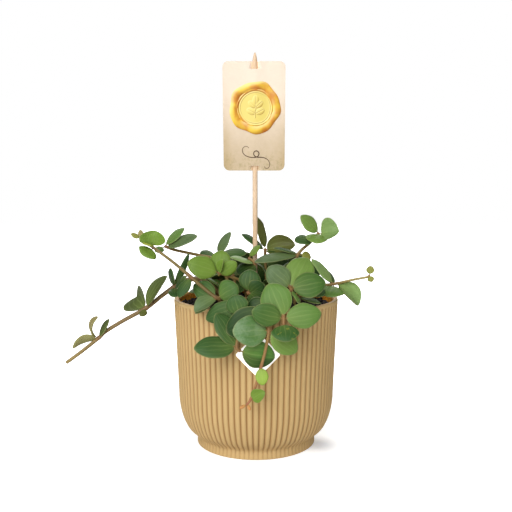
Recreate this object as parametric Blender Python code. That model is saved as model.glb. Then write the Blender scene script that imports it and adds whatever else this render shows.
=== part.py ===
"""A trailing peperomia in its ribbed pot, with soil, a wooden stick, a card tag and a blank label.

The origin is the middle of the pot's underside, +Z is up and the plant's front looks along -Y.
Lengths are given in millimetres in the tables and turned into metres by MM.
"""
import itertools
import math
import random
from collections import namedtuple

import bmesh
import bpy
from mathutils import Vector
from mathutils.bvhtree import BVHTree

MM = 0.001

# Pot
POT_HEIGHT = 125
RIM_RADIUS = 70
RIM_INNER_RADIUS = 66
FOOT_RADIUS = 51
NECK_RADIUS = 50.2
NECK_HEIGHT = 7.5
BODY_START_RADIUS = 51.3
BODY_START_HEIGHT = 9.5
SHOULDER_RADIUS = 66.4
SHOULDER_HEIGHT = 44
LOWER_BODY_HEIGHT = 20
BELLY_POWER = 1.85
RIB_COUNT = 84
RIB_DEPTH = 1.3
RIB_TOP = 123
INNER_RIB_DEPTH = 1.0
WALL = 4.6
FLOOR_TOP = 6
FLOOR_RADIUS = 45

# Soil
SOIL_TOP = 118.5
SOIL_SIDES = 36
SOIL_CLEARANCE = 1.3
SOIL_RINGS = (0.66, 0.33)
SOIL_BUMP = 0.9
GAP = 0.3
STEM_HOLE_PLAY = 0.6
STICK_HOLE_PLAY = 1.0
HOLE_ABOVE = 6

# Stick and tag
STICK_RADIUS = 2.1
STICK_SIDES = 12
STICK_CHAMFER = 3
STICK_PLACE = (-0.75, 8)
STICK_BOTTOM = 48
STICK_TOP = 332
STICK_POINT = 7
STICK_LEAN = 0.3
TAG_WIDTH = 53.4
TAG_TAPER = 0.03
TAG_SHIFT = -0.8
TAG_BOTTOM = 233
TAG_TOP = 324.5
TAG_THICKNESS = 0.8
TAG_CORNER = 5
SLIT_HEIGHTS = (237, 318)
SLIT_HALF = 4.8
BOW_HALF = 2.2
TAG_PUSH = 2.9

# Label on the front of the pot
LABEL_SIDE = 25
LABEL_CENTRE_Z = 90
LABEL_CENTRE_X = 1.5
LABEL_THICKNESS = 0.6
LABEL_LIFT = 0.45
LABEL_STEPS = 4

# Leaves and stems
BLADE = 1.2
PETIOLE = 3.5
ROOT_SINK = 0.9
ROOT_SHARE = 0.5
ROW_PLACES = (0.0, 0.14, 0.48, 0.84, 1.0)
STEM_SIDES = 6
STEPS = 5
BEND_STEP = 23
CLEARANCE = 0.35
OWN_CLEARANCE = 0.1
SMALL_LEAF = 17.2
HOLLOW_FACES = 24
SINKS = (0, 0.08, 0.16, 0.24)

FRONT = (0, -0.94, 0.34)
TILTED = (0, -0.7, 0.7)
FLAT = (0, -0.35, 0.94)

Leaf = namedtuple("Leaf", "at tip width face fold curl", defaults=(FRONT, -5, 18))
Stem = namedtuple("Stem", "name route thick thin colour leaves")
Placed = namedtuple("Placed", "base tip face width fold curl root ribbed")

# Each stem's points run from its foot in the soil to its end. A leaf leaves the stem at the point
# numbered "at" and reaches to its tip; its upper side looks along face.
FRONT_STEMS = (
    Stem("front_trailing_stem",
         ((8, -34, 106), (8, -34, 123), (8, -50, 130), (9, -65, 132), (10, -77, 127), (9.5, -82, 112),
          (7, -81.5, 97), (4, -81.5, 85), (0, -80, 70), (-4, -78.5, 58.5), (-7, -79, 54.5)),
         2.9, 1.7, (0.17, 0.30, 0.11), (
        Leaf(5, (-17, -91, 113), 22.5),
        Leaf(5, (31, -80, 95), 18),
        Leaf(7, (4.8, -86, 71.3), 9.5),
        Leaf(9, (6.6, -84, 66), 10, FRONT, 30),
        Leaf(10, (-12.5, -80, 52), 2.6),
        Leaf(10, (-4.4, -82, 50.8), 2.4),
        Leaf(4.2, (-22.5, -81, 110.5), 23, (0, -0.99, 0.12)),
        Leaf(3.6, (-7, -71.5, 126), 16, (0, -0.9, 0.4)))),
    Stem("front_left_stem",
         ((-6, -30, 106), (-6, -30, 123), (-7, -46, 130), (-9, -63, 132), (-11, -74, 127),
          (-13, -77, 112), (-14.5, -79.5, 99), (-12, -79.5, 96)),
         2.7, 2.2, (0.09, 0.22, 0.07), (
        Leaf(6, (-46, -87, 100), 18.5, (0, -0.75, 0.66)),
        Leaf(6, (-30, -73.5, 124), 17, (0.4, -0.85, 0.3)),
        Leaf(7, (14.5, -77, 90), 21, (0, -1, 0.15)),
        Leaf(3.6, (-39, -63.5, 117), 16, (-0.55, -0.8, 0.2)),
        Leaf(4.4, (-16.5, -76, 138), 17))),
    Stem("front_right_stem",
         ((18, -30, 106), (18, -30, 123), (18, -46, 130), (19, -63, 133), (20, -77, 130),
          (20.5, -83, 122), (20.5, -85, 115)),
         2.9, 2.2, (0.15, 0.32, 0.09), (
        Leaf(5, (10, -77, 147), 23, (-0.1, -0.93, 0.35)),
        Leaf(5, (49, -81, 125), 18.5, (0.1, -0.95, 0.3)),
        Leaf(5, (-3, -89, 128), 17, (0, -0.85, 0.5)),
        Leaf(5.5, (22, -99, 107.5), 20, (0, -0.35, 0.94)),
        Leaf(6, (25, -96, 113), 5.5, FLAT))),
    Stem("right_cluster_stem",
         ((24, -20, 106), (24, -20, 123), (25, -38, 134), (26, -54, 142), (26.5, -62, 141.5),
          (27, -66, 140)),
         2.9, 2.4, (0.13, 0.30, 0.10), (
        Leaf(4, (9, -58, 157), 18.5),
        Leaf(4.5, (54, -60, 146), 20, (0.1, -0.9, 0.45)),
        Leaf(4, (41, -51, 165.5), 22, (0.1, -0.85, 0.5)),
        Leaf(5, (33, -73, 131), 13, (0.8, -0.1, 0.6)))),
    Stem("middle_stem",
         ((-2, -22, 106), (-2, -22, 123), (-3, -36, 130), (-6, -48, 135.5), (-6, -51, 135.5)),
         2.7, 2.3, (0.09, 0.21, 0.07), (
        Leaf(3, (-4, -46, 154), 17),
        Leaf(4, (-1, -66, 126), 13),
        Leaf(3, (6, -50, 143), 15),
        Leaf(4, (4, -60, 123), 15))),
    Stem("bright_stem",
         ((-8, -12, 106), (-8, -12, 123), (-9, -24, 137), (-14, -34, 144), (-22, -38, 147.5),
          (-30, -40, 150.5)),
         2.4, 2.0, (0.22, 0.42, 0.09), (
        Leaf(5, (-54, -46, 159.5), 18.5, (-0.1, -0.9, 0.45)),
        Leaf(5, (-28, -36, 168.5), 17, (0, -0.9, 0.4)),
        Leaf(5, (-26, -47, 162), 7, (-0.5, -0.8, 0.3), 30),
        Leaf(5, (-15.5, -44, 159.5), 11.5, (0.1, -0.95, 0.3)))),
    Stem("left_rising_stem",
         ((-16, -24, 106), (-16, -24, 123), (-19, -40, 128), (-26, -54, 131.5), (-31, -58, 133),
          (-44, -55, 143), (-55, -52, 152), (-67, -47, 161), (-79, -42, 169), (-85, -41, 173),
          (-92, -40, 177.5)),
         2.8, 1.6, (0.16, 0.33, 0.08), (
        Leaf(4, (-50, -49, 144), 15),
        Leaf(4, (-47, -67, 123.5), 13, (-0.2, -0.6, 0.75), 30),
        Leaf(4, (-14, -62, 143), 18.5),
        Leaf(5.8, (-64, -47, 139), 8, (-0.85, -0.35, 0.4)),
        Leaf(5.6, (-62.5, -59, 135), 9.5, (-0.3, -0.8, 0.5)),
        Leaf(8.4, (-80.5, -43, 184.5), 20, FRONT, 30),
        Leaf(9, (-92, -34, 183), 10),
        Leaf(8.4, (-88, -52, 165.5), 16),
        Leaf(9, (-85, -50, 175), 9),
        Leaf(10, (-99.5, -40, 182), 4.5, TILTED),
        Leaf(10, (-92, -40, 185), 4.5),
        Leaf(4, (-38.5, -69, 117), 14, (-0.4, -0.85, 0.3)))),
    Stem("left_upper_stem",
         ((-22, 0, 106), (-22, 0, 123), (-25, 4, 140), (-34, 5, 156), (-48, 3, 160.5),
          (-58, 0, 163), (-70, -3, 166), (-77, -5, 169)),
         2.6, 2.2, (0.12, 0.26, 0.07), (
        Leaf(7, (-61, -2, 185), 15, (-0.61, -0.46, 0.64)),
        Leaf(6.8, (-49, -13, 178.5), 15, (-0.26, -0.55, 0.8)),
        Leaf(7, (-84, -13, 165), 8, TILTED))),
    Stem("left_trailing_stem",
         ((-30, -10, 106), (-30, -10, 123), (-35, -14, 134), (-46, -18, 142), (-58, -22, 142),
          (-67.5, -25, 137), (-78, -27.5, 129.5), (-89.5, -30, 120.5), (-108, -33, 110.5),
          (-122, -35, 102), (-127.5, -36, 97), (-140, -38, 87), (-153, -40, 77.5)),
         3.5, 2.3, (0.11, 0.22, 0.06), (
        Leaf(5, (-70, -29, 153), 11, (-0.85, -0.5, 0)),
        Leaf(5, (-65, -40, 131), 10, FLAT),
        Leaf(5, (-54.6, -28, 165), 6, (0.5, -0.85, 0.1)),
        Leaf(7, (-72, -35, 147.5), 13, (-0.6, -0.65, 0.45), 25),
        Leaf(7, (-101, -13, 128), 23, (-0.76, -0.38, 0.53), 45),
        Leaf(7, (-93, -38, 115), 6.5, TILTED),
        Leaf(10, (-127, -41, 115.5), 11, (-0.92, -0.38, 0.05), 8, 120),
        Leaf(10, (-118, -33, 111.5), 10, (-0.62, -0.66, 0.42)),
        Leaf(10, (-147.5, -43, 90), 14, (-0.4, 0.45, 0.8), 20, 50))),
    Stem("right_reaching_stem",
         ((33, -6, 106), (33, -6, 123), (38, -9, 131), (50, -12, 136.5), (64, -15, 138),
          (80, -18, 142), (91.5, -20, 144.5), (94, -20, 146)),
         2.5, 1.6, (0.15, 0.32, 0.08), (
        Leaf(4, (47.5, -9, 159), 15, (0.65, -0.45, 0.6)),
        Leaf(4, (57, 1, 153), 14, (0.5, -0.5, 0.7)),
        Leaf(4, (59, -35, 131), 21, (0, -0.45, 0.9)),
        Leaf(4.2, (85.5, -21, 121), 20, (0.5, -0.75, 0.42), 30),
        Leaf(7, (95, -20, 154), 6.5),
        Leaf(6.7, (95.8, -23, 141), 5.5))),
    Stem("upper_right_stem",
         ((26, 6, 106), (26, 6, 123), (27, 6, 140), (36, 5, 161), (46, 5, 171), (53.8, 5, 179.5)),
         2.8, 2.3, (0.17, 0.33, 0.09), (
        Leaf(5, (38.5, 2, 195), 15, (0.46, -0.75, 0.46)),
        Leaf(5, (70.5, -2, 182), 20, (-0.3, -0.85, 0.5), 40),
        Leaf(5, (49, -13, 173), 18, (0.3, -0.45, 0.85)),
        Leaf(4.4, (33, -3, 173.5), 14, (-0.1, -0.6, 0.8)),
        Leaf(3, (-1.5, -10, 156.5), 15, (0, -0.36, 0.93)),
        Leaf(3, (15, 5, 167), 11, (0.2, -0.12, 0.97)),
        Leaf(3, (48, 10, 158), 8.5),
        Leaf(2, (60, 20, 148), 15))),
    Stem("upper_middle_stem",
         ((10, 26, 106), (10, 26, 123), (9, 27, 140), (8.2, 28, 155), (8.2, 28, 164)),
         2.5, 2.2, (0.16, 0.19, 0.05), (
        Leaf(4, (1, 27, 193), 12, (0.78, -0.62, 0.16)),
        Leaf(4, (34.5, 19, 168.5), 18, (-0.25, -0.85, 0.45), 40),
        Leaf(4, (-12.5, 24, 178), 13, (0.56, -0.38, 0.73)),
        Leaf(3.8, (31, 15, 164.5), 12, FLAT),
        Leaf(3, (-2, 36, 131), 18),
        Leaf(3, (32, 36, 143), 18))),
    Stem("inner_middle_stem",
         ((-4, -6, 106), (-4, -6, 123), (-3, -7, 140), (-1, -7, 154), (-6, -5, 159)),
         2.5, 2.1, (0.14, 0.24, 0.09), (
        Leaf(3, (-21.5, -15, 161), 15, (0.2, -0.4, 0.9)),
        Leaf(4, (3, -4, 170), 11, (-0.74, -0.4, 0.54)),
        Leaf(3, (-15, -20, 147), 16, (-0.1, -0.85, 0.5)))),
    Stem("upper_left_stem",
         ((-18, 18, 106), (-18, 18, 123), (-20, 19, 140), (-28, 20, 153), (-34, 20, 159)),
         2.4, 2.0, (0.08, 0.19, 0.06), (
        Leaf(4, (-8, 13, 162), 16, (0, -0.5, 0.86)),
        Leaf(4, (-49, 13, 161), 14, (-0.1, -0.55, 0.83)),
        Leaf(4, (-23, 22, 180), 14, (-0.66, -0.55, 0.5)),
        Leaf(2, (-10, 30, 159), 15))),
    Stem("inner_right_stem",
         ((36, -26, 106), (36, -26, 123), (34, -38, 128), (33, -47, 131.5), (41, -43, 133.5)),
         2.4, 2.2, (0.07, 0.16, 0.05), (
        Leaf(3, (51.5, -48, 127.5), 12, FLAT),
        Leaf(4, (56, -30, 136), 13, TILTED))),
)

# Stems that hang over the back rim: azimuth in degrees and the height of the stem's end
HANGING = ((60, 74), (90, 36), (118, 58))
HANGING_PATH = ((33, 106), (33, 123), (46, 131), (60, 135), (73, 131), (79.5, 119), (80, 100))
HANGING_STEP = 25
# Stems that stand in the crown behind: foot and top, in millimetres
STANDING = (((-34, 34), (-34, 38, 135)), ((-8, 42), (-9, 50, 147)), ((16, 44), (17, 52, 146)),
            ((36, 27), (38, 33, 137)), ((-34, 8), (-34, 6, 133)), ((13, 10), (14, 9, 134)))
TOP_BUD = 3
SEED = 14
LEAF_REACH = (21, 27)
LEAF_ROUNDNESS = 0.82
BACK_GREENS = ((0.12, 0.27, 0.08), (0.09, 0.21, 0.07), (0.17, 0.34, 0.09), (0.11, 0.25, 0.08))

COLOURS = {
    "pot": (0.60, 0.42, 0.20),
    "soil": (0.018, 0.012, 0.010),
    "stick": (0.80, 0.58, 0.36),
    "tag": (0.84, 0.72, 0.55),
    "front_label": (0.90, 0.90, 0.90),
}
ROUGHNESS = {"pot": 0.55, "soil": 0.95, "stick": 0.7, "tag": 0.8, "front_label": 0.5, "leaf": 0.45}


def clear_scene():
    """Removes what the scene holds."""
    for thing in list(bpy.data.objects):
        bpy.data.objects.remove(thing, do_unlink=True)


def new_collection(name):
    """Adds a collection to the scene."""
    group = bpy.data.collections.new(name)
    bpy.context.scene.collection.children.link(group)
    return group


def make_material(name, colour, roughness):
    """A plain material with one colour."""
    material = bpy.data.materials.new(name)
    material.use_nodes = True
    shader = material.node_tree.nodes["Principled BSDF"]
    shader.inputs["Base Color"].default_value = (*colour, 1)
    shader.inputs["Roughness"].default_value = roughness
    shader.inputs["Metallic"].default_value = 0
    material.diffuse_color = (*colour, 1)
    return material


def add_object(name, mesh, group, colour, roughness):
    """Puts a mesh into the scene as a named object with its own material."""
    thing = bpy.data.objects.new(name, mesh)
    mesh.materials.clear()
    mesh.materials.append(make_material(name, colour, roughness))
    group.objects.link(thing)
    return thing


def mesh_from(bm, name):
    """Turns a bmesh in millimetres into a mesh in metres, with round faces shaded smooth."""
    bmesh.ops.scale(bm, vec=Vector((MM, MM, MM)), verts=bm.verts)
    mesh = bpy.data.meshes.new(name)
    bm.to_mesh(mesh)
    bm.free()
    mesh.shade_smooth()
    mesh.set_sharp_from_angle(angle=math.radians(40))
    return mesh


def evaluated_mesh(thing):
    """The mesh that an object has after its modifiers."""
    graph = bpy.context.evaluated_depsgraph_get()
    return bpy.data.meshes.new_from_object(thing.evaluated_get(graph), depsgraph=graph)


def wall_radius(height):
    """Radius of the pot's rib crests at a height."""
    if height >= SHOULDER_HEIGHT:
        share = (height - SHOULDER_HEIGHT) / (POT_HEIGHT - SHOULDER_HEIGHT)
        return SHOULDER_RADIUS + (RIM_RADIUS - SHOULDER_RADIUS) * share
    drop = (SHOULDER_HEIGHT - height) / (SHOULDER_HEIGHT - BODY_START_HEIGHT)
    swell = (1 - drop ** BELLY_POWER) ** (1 / BELLY_POWER)
    return BODY_START_RADIUS + (SHOULDER_RADIUS - BODY_START_RADIUS) * swell


def inner_radius(height):
    """Radius of the inner wall at a height: straight from the floor to the shoulder, then up the body."""
    if height >= SHOULDER_HEIGHT:
        return wall_radius(height) - WALL
    share = (height - FLOOR_TOP) / (SHOULDER_HEIGHT - FLOOR_TOP)
    return FLOOR_RADIUS + (SHOULDER_RADIUS - WALL - FLOOR_RADIUS) * share


def pot_profile():
    """Rows of the pot from the foot's edge, up the outside and down the inside to the floor.

    Each row is a crest radius, the depth of its grooves and its height.
    """
    outside = [
        (FOOT_RADIUS, RIB_DEPTH, 0),
        (NECK_RADIUS, RIB_DEPTH, NECK_HEIGHT),
        (BODY_START_RADIUS, RIB_DEPTH, BODY_START_HEIGHT),
        (wall_radius(LOWER_BODY_HEIGHT), RIB_DEPTH, LOWER_BODY_HEIGHT),
        (SHOULDER_RADIUS, RIB_DEPTH, SHOULDER_HEIGHT),
        (wall_radius(RIB_TOP), RIB_DEPTH, RIB_TOP),
        (RIM_RADIUS - RIB_DEPTH / 2, 0, POT_HEIGHT),
    ]
    inside = [
        (RIM_INNER_RADIUS, 0, POT_HEIGHT),
        (RIM_INNER_RADIUS, INNER_RIB_DEPTH, RIB_TOP),
        (inner_radius(SHOULDER_HEIGHT) + INNER_RIB_DEPTH / 2, INNER_RIB_DEPTH, SHOULDER_HEIGHT),
        (inner_radius(FLOOR_TOP), 0, FLOOR_TOP),
    ]
    return outside + inside


def make_pot(group):
    """The ribbed cover pot: a foot disc extruded row by row, with every other column in a groove."""
    bm = bmesh.new()
    columns = 2 * RIB_COUNT
    ring = bmesh.ops.create_circle(bm, cap_ends=True, radius=FOOT_RADIUS, segments=columns)["verts"]
    bmesh.ops.reverse_faces(bm, faces=bm.faces)
    order = {vert: number for number, vert in enumerate(ring)}
    turn = math.tau / columns

    def shape(verts, row):
        radius, depth, height = row
        for vert, number in verts.items():
            reach = radius - depth * (number % 2)
            vert.co = (reach * math.sin(turn * number), -reach * math.cos(turn * number), height)

    rows = pot_profile()
    shape(order, rows[0])
    edges = [edge for edge in bm.edges if edge.is_boundary]
    for row in rows[1:]:
        result = bmesh.ops.extrude_edge_only(bm, edges=edges)["geom"]
        fresh = [item for item in result if isinstance(item, bmesh.types.BMVert)]
        edges = [item for item in result if isinstance(item, bmesh.types.BMEdge) and item.is_boundary]
        following = {}
        for vert in fresh:
            below = next(e.other_vert(vert) for e in vert.link_edges if e.other_vert(vert) in order)
            following[vert] = order[below]
        shape(following, row)
        order = following
    bmesh.ops.contextual_create(bm, geom=edges)
    bmesh.ops.recalc_face_normals(bm, faces=bm.faces)
    return add_object("pot", mesh_from(bm, "pot"), group, COLOURS["pot"], ROUGHNESS["pot"])


def soil_height(x, y):
    """Height of the soil's uneven top."""
    waves = math.sin(x / 7 + 1) * math.cos(y / 9) + math.sin(x / 13 - y / 6)
    return SOIL_TOP + SOIL_BUMP * waves / 2


def make_soil(group, cutters):
    """The soil that fills the pot, with an uneven top and a plain hole for each stem and the stick."""
    bm = bmesh.new()
    ring = bmesh.ops.create_circle(bm, radius=1, segments=SOIL_SIDES)["verts"]
    bm.faces.new(ring)
    for number, level in enumerate((FLOOR_TOP + GAP, SHOULDER_HEIGHT, SOIL_TOP)):
        if number:
            edges = [edge for edge in bm.edges if edge.is_boundary]
            result = bmesh.ops.extrude_edge_only(bm, edges=edges)["geom"]
            ring = [item for item in result if isinstance(item, bmesh.types.BMVert)]
        radius = inner_radius(level) - SOIL_CLEARANCE
        for vert in ring:
            place = Vector((vert.co.x, vert.co.y, 0)).normalized() * radius
            vert.co = (place.x, place.y, level)
    rim = inner_radius(SOIL_TOP) - SOIL_CLEARANCE
    for share in SOIL_RINGS:
        edges = [edge for edge in bm.edges if edge.is_boundary]
        result = bmesh.ops.extrude_edge_only(bm, edges=edges)["geom"]
        ring = [item for item in result if isinstance(item, bmesh.types.BMVert)]
        for vert in ring:
            place = Vector((vert.co.x, vert.co.y, 0)).normalized() * rim * share
            vert.co = (place.x, place.y, soil_height(place.x, place.y))
    bmesh.ops.contextual_create(bm, geom=[edge for edge in bm.edges if edge.is_boundary])
    bmesh.ops.triangulate(bm, faces=bm.faces)
    bmesh.ops.recalc_face_normals(bm, faces=bm.faces)
    soil = add_object("soil", mesh_from(bm, "soil"), group, COLOURS["soil"], ROUGHNESS["soil"])
    cut = soil.modifiers.new("stem_holes", "BOOLEAN")
    cut.operation = "DIFFERENCE"
    cut.operand_type = "COLLECTION"
    cut.collection = cutters
    return soil


def make_hole(place, radius, bottom, sides, cutters):
    """A cutter for a plain round hole in the soil."""
    bm = bmesh.new()
    top = SOIL_TOP + HOLE_ABOVE
    result = bmesh.ops.create_cone(bm, cap_ends=True, segments=sides, radius1=radius, radius2=radius,
                                   depth=top - bottom)
    bmesh.ops.translate(bm, vec=Vector((*place, (top + bottom) / 2)), verts=result["verts"])
    cutter = bpy.data.objects.new("hole_cutter", mesh_from(bm, "hole_cutter"))
    cutter.hide_render = True
    cutter.display_type = "WIRE"
    cutters.objects.link(cutter)


def stick_axis(height):
    """Place of the stick's axis at a height: it leans a little to the left."""
    share = (height - STICK_BOTTOM) / (STICK_TOP - STICK_BOTTOM)
    return Vector((STICK_PLACE[0] + STICK_LEAN * (0.5 - share), STICK_PLACE[1], height))


def make_stick(group):
    """The round wooden stick, sharpened at its top and chamfered at its foot."""
    rows = ((0.6, STICK_BOTTOM), (1, STICK_BOTTOM + STICK_CHAMFER), (1, STICK_TOP - STICK_POINT),
            (0.72, STICK_TOP - STICK_POINT / 2), (0.24, STICK_TOP))
    bm = bmesh.new()
    ring = bmesh.ops.create_circle(bm, cap_ends=True, radius=STICK_RADIUS, segments=STICK_SIDES)["verts"]
    for number, (share, height) in enumerate(rows):
        if number:
            edges = [edge for edge in bm.edges if edge.is_boundary]
            result = bmesh.ops.extrude_edge_only(bm, edges=edges)["geom"]
            ring = [item for item in result if isinstance(item, bmesh.types.BMVert)]
        middle = stick_axis(height)
        old = sum((vert.co for vert in ring), Vector()) / len(ring)
        for vert in ring:
            out = Vector((vert.co.x - old.x, vert.co.y - old.y, 0)).normalized()
            vert.co = middle + out * STICK_RADIUS * share
    bmesh.ops.contextual_create(bm, geom=[edge for edge in bm.edges if edge.is_boundary])
    bmesh.ops.recalc_face_normals(bm, faces=bm.faces)
    return add_object("stick", mesh_from(bm, "stick"), group, COLOURS["stick"], ROUGHNESS["stick"])


def tag_push(x, behind):
    """How far the card stands in front of the stick's axis (minus) or behind it (plus)."""
    if not behind:
        return -TAG_PUSH
    beside = max(0.0, abs(x) - BOW_HALF) / (SLIT_HALF - BOW_HALF)
    across = max(0.0, 1 - beside)
    ease = across * across * (3 - 2 * across)
    return TAG_PUSH * (2 * ease - 1)


def tag_across(x, height):
    """Where a place of the card lies across from the stick: the card narrows a little towards its foot."""
    if abs(x) <= SLIT_HALF:
        return x
    return x * (1 - TAG_TAPER * (TAG_TOP - height) / (TAG_TOP - TAG_BOTTOM)) + TAG_SHIFT


def tag_rows():
    """Heights across the card, and whether its strip there passes behind the stick."""
    low, high = SLIT_HEIGHTS
    return [(TAG_BOTTOM, True), (low, True), (low, False), (high, False), (high, True), (TAG_TOP, True)]


def make_tag(group):
    """The card tag: a flat sheet in front of the stick, with a slit near each end.

    The stick comes through the slits, so the card's end strips pass behind it.
    """
    half = TAG_WIDTH / 2
    right = (BOW_HALF, (BOW_HALF + SLIT_HALF) / 2, SLIT_HALF, half - TAG_CORNER, half)
    columns = [-x for x in right[::-1]] + list(right)
    rows = tag_rows()
    bm = bmesh.new()
    grid = []
    for height, behind in rows:
        axis = stick_axis(height)
        line = []
        for x in columns:
            corner = abs(x) == half and height in (TAG_BOTTOM, TAG_TOP)
            inward = TAG_CORNER * 0.6 if corner else 0
            z = height + inward * (1 if height == TAG_BOTTOM else -1)
            across = tag_across(x, height) - math.copysign(inward * 0.5, x)
            line.append(bm.verts.new((axis.x + across, axis.y + tag_push(x, behind), z)))
        grid.append(line)
    for lower, upper, below, over in zip(grid, grid[1:], rows, rows[1:]):
        if below[1] != over[1]:
            continue
        for number in range(len(columns) - 1):
            bm.faces.new((lower[number], lower[number + 1], upper[number + 1], upper[number]))
    slit_rows = [(first, second) for first, second, below, over
                 in zip(grid, grid[1:], rows, rows[1:]) if below[1] != over[1]]
    welded = {}
    for first, second in slit_rows:
        for number, x in enumerate(columns):
            if abs(x) >= SLIT_HALF:
                welded[second[number]] = first[number]
    bmesh.ops.weld_verts(bm, targetmap=welded)
    bmesh.ops.triangulate(bm, faces=bm.faces)
    bmesh.ops.recalc_face_normals(bm, faces=bm.faces)
    bmesh.ops.solidify(bm, geom=bm.faces[:], thickness=TAG_THICKNESS)
    middle = Vector((0, 1, 0)) * tag_offset(bm)
    bmesh.ops.translate(bm, vec=middle, verts=bm.verts)
    bmesh.ops.recalc_face_normals(bm, faces=bm.faces)
    return add_object("tag", mesh_from(bm, "tag"), group, COLOURS["tag"], ROUGHNESS["tag"])


def tag_offset(bm):
    """Shift that centres the thickness of the card on its place in front of the stick."""
    ends = [vert.co.y for vert in bm.verts if abs(vert.co.x - STICK_PLACE[0]) > SLIT_HALF + 4]
    return STICK_PLACE[1] - TAG_PUSH - (min(ends) + max(ends)) / 2


def label_point(across, up, lift):
    """A place on the pot's front, across and up from the label's middle, lifted off the crests."""
    height = LABEL_CENTRE_Z + up
    radius = wall_radius(height) + lift
    angle = (LABEL_CENTRE_X + across) / wall_radius(LABEL_CENTRE_Z)
    return Vector((radius * math.sin(angle), -radius * math.cos(angle), height))


def make_label(group):
    """The square paper label, set on its corner and bent round the pot over the rib crests."""
    bm = bmesh.new()
    bmesh.ops.create_grid(bm, x_segments=LABEL_STEPS, y_segments=LABEL_STEPS, size=LABEL_SIDE / 2)
    bmesh.ops.triangulate(bm, faces=bm.faces)
    outer = bmesh.ops.extrude_face_region(bm, geom=bm.faces[:])["geom"]
    lifted = {item for item in outer if isinstance(item, bmesh.types.BMVert)}
    for vert in bm.verts:
        across = (vert.co.x - vert.co.y) * math.sqrt(0.5)
        up = (vert.co.x + vert.co.y) * math.sqrt(0.5)
        lift = LABEL_LIFT + (LABEL_THICKNESS if vert in lifted else 0)
        vert.co = label_point(across, up, lift)
    bmesh.ops.recalc_face_normals(bm, faces=bm.faces)
    mesh = mesh_from(bm, "front_label")
    return add_object("front_label", mesh, group, COLOURS["front_label"], ROUGHNESS["front_label"])


def smooth_route(points, steps):
    """Points on the smooth curve through the given ones, whose first stretch is straight."""
    knots = [Vector(point) for point in points]
    pulls = [knots[1] - knots[0]] * 2
    pulls += [(after - before) / 2 for before, after in zip(knots[1:], knots[3:])]
    pulls.append(knots[-1] - knots[-2])
    route = []
    for start, end, pull_in, pull_out in zip(knots, knots[1:], pulls, pulls[1:]):
        for number in range(steps):
            t = number / steps
            route.append((2 * t ** 3 - 3 * t ** 2 + 1) * start + (t ** 3 - 2 * t ** 2 + t) * pull_in
                         + (3 * t ** 2 - 2 * t ** 3) * end + (t ** 3 - t ** 2) * pull_out)
    return route + [knots[-1]]


def stem_line(stem):
    """Points along a stem, closer together where it bends, with the stem's radius at each.

    The stem thins towards its end. It keeps a point wherever a leaf leaves it.
    """
    fine = smooth_route(stem.route, STEPS)
    joints = {leaf_step(stem, leaf) for leaf in stem.leaves} | {0, STEPS, len(fine) - 1}
    line = []
    heading = (fine[1] - fine[0]).normalized()
    for number, point in enumerate(fine):
        following = fine[min(number + 1, len(fine) - 1)]
        ahead = (following - point).normalized() if following != point else heading
        if number in joints or heading.angle(ahead) > math.radians(BEND_STEP):
            share = number / (len(fine) - 1)
            line.append((point, (stem.thick + (stem.thin - stem.thick) * share) / 2))
            heading = ahead
    return line


def leaf_step(stem, leaf):
    """The fine step of a stem's route that a leaf leaves from."""
    return min(round(leaf.at * STEPS), (len(stem.route) - 1) * STEPS)


def tube_rings(line):
    """Rings of points round a line of places and radii."""
    rings = []
    side = Vector((1, 0, 0))
    for number, (centre, radius) in enumerate(line):
        along = line[min(number + 1, len(line) - 1)][0] - line[max(number - 1, 0)][0]
        along.normalize()
        side = (side - along * side.dot(along)).normalized()
        other = along.cross(side)
        ring = []
        for step in range(STEM_SIDES):
            angle = math.tau * step / STEM_SIDES
            out = side * math.cos(angle) + other * math.sin(angle)
            ring.append(centre + out * radius)
        rings.append(ring)
    return rings


def grid_tree(rows, closed):
    """A search tree over the quads between rows of points."""
    width = len(rows[0])
    points = [point for row in rows for point in row]
    polygons = []
    for line in range(len(rows) - 1):
        for number in range(width if closed else width - 1):
            after = (number + 1) % width
            polygons.append((line * width + number, line * width + after,
                             (line + 1) * width + after, (line + 1) * width + number))
    return BVHTree.FromPolygons(points, polygons)


def blade_half_width(place):
    """Half width of a blade, as a share of its widest, from its neck (0) to its tip (1)."""
    return max(0.0, math.sin(math.pi * place ** 0.92)) ** 0.58


def leaf_rows(leaf, lift, swell):
    """Rows across a leaf: left margin, midrib and right margin, lifted off its middle surface.

    The first row is the root, drawn together to a point inside the stem. A small or plain leaf has no
    midrib and no neck.
    """
    along = leaf.tip - leaf.base
    reach = along.length
    along.normalize()
    side = along.cross(leaf.face).normalized()
    up = side.cross(along)
    bend = math.radians(leaf.curl)
    radius = reach / (2 * math.sin(bend / 2))
    fold = math.radians(leaf.fold)
    neck = min(PETIOLE / reach, 0.3)
    rows = []
    for number, place in enumerate((0.0,) + ROW_PLACES):
        share = neck + (1 - neck) * place if number else 0.0
        half = leaf.width * 0.52 * blade_half_width(place) + swell if number > 1 else leaf.root * number
        angle = (share - 0.5) * bend
        middle = leaf.base + along * (reach / 2 + radius * math.sin(angle))
        middle += up * radius * (math.cos(angle) - math.cos(bend / 2))
        normal = (up * math.cos(angle) + along * math.sin(angle)).normalized()
        rise = up * half * math.sin(fold) if number > 1 else Vector()
        out = side * half * (math.cos(fold) if number > 1 else 1)
        line = (middle - out + rise, middle, middle + out + rise)
        rows.append([point + normal * lift for point in line])
    if leaf.ribbed:
        return rows
    return [[left, right] for left, _, right in rows[:1] + rows[2:]]


def leaf_trees(leaf, swell, blade_only):
    """Search trees for a leaf's upper side, middle and lower side, thickened and widened by swell."""
    lift = BLADE / 2 + swell
    first = 1 + leaf.ribbed if blade_only else 0
    return [grid_tree(leaf_rows(leaf, sign * lift, swell)[first:], False) for sign in (1, 0, -1)]


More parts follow.
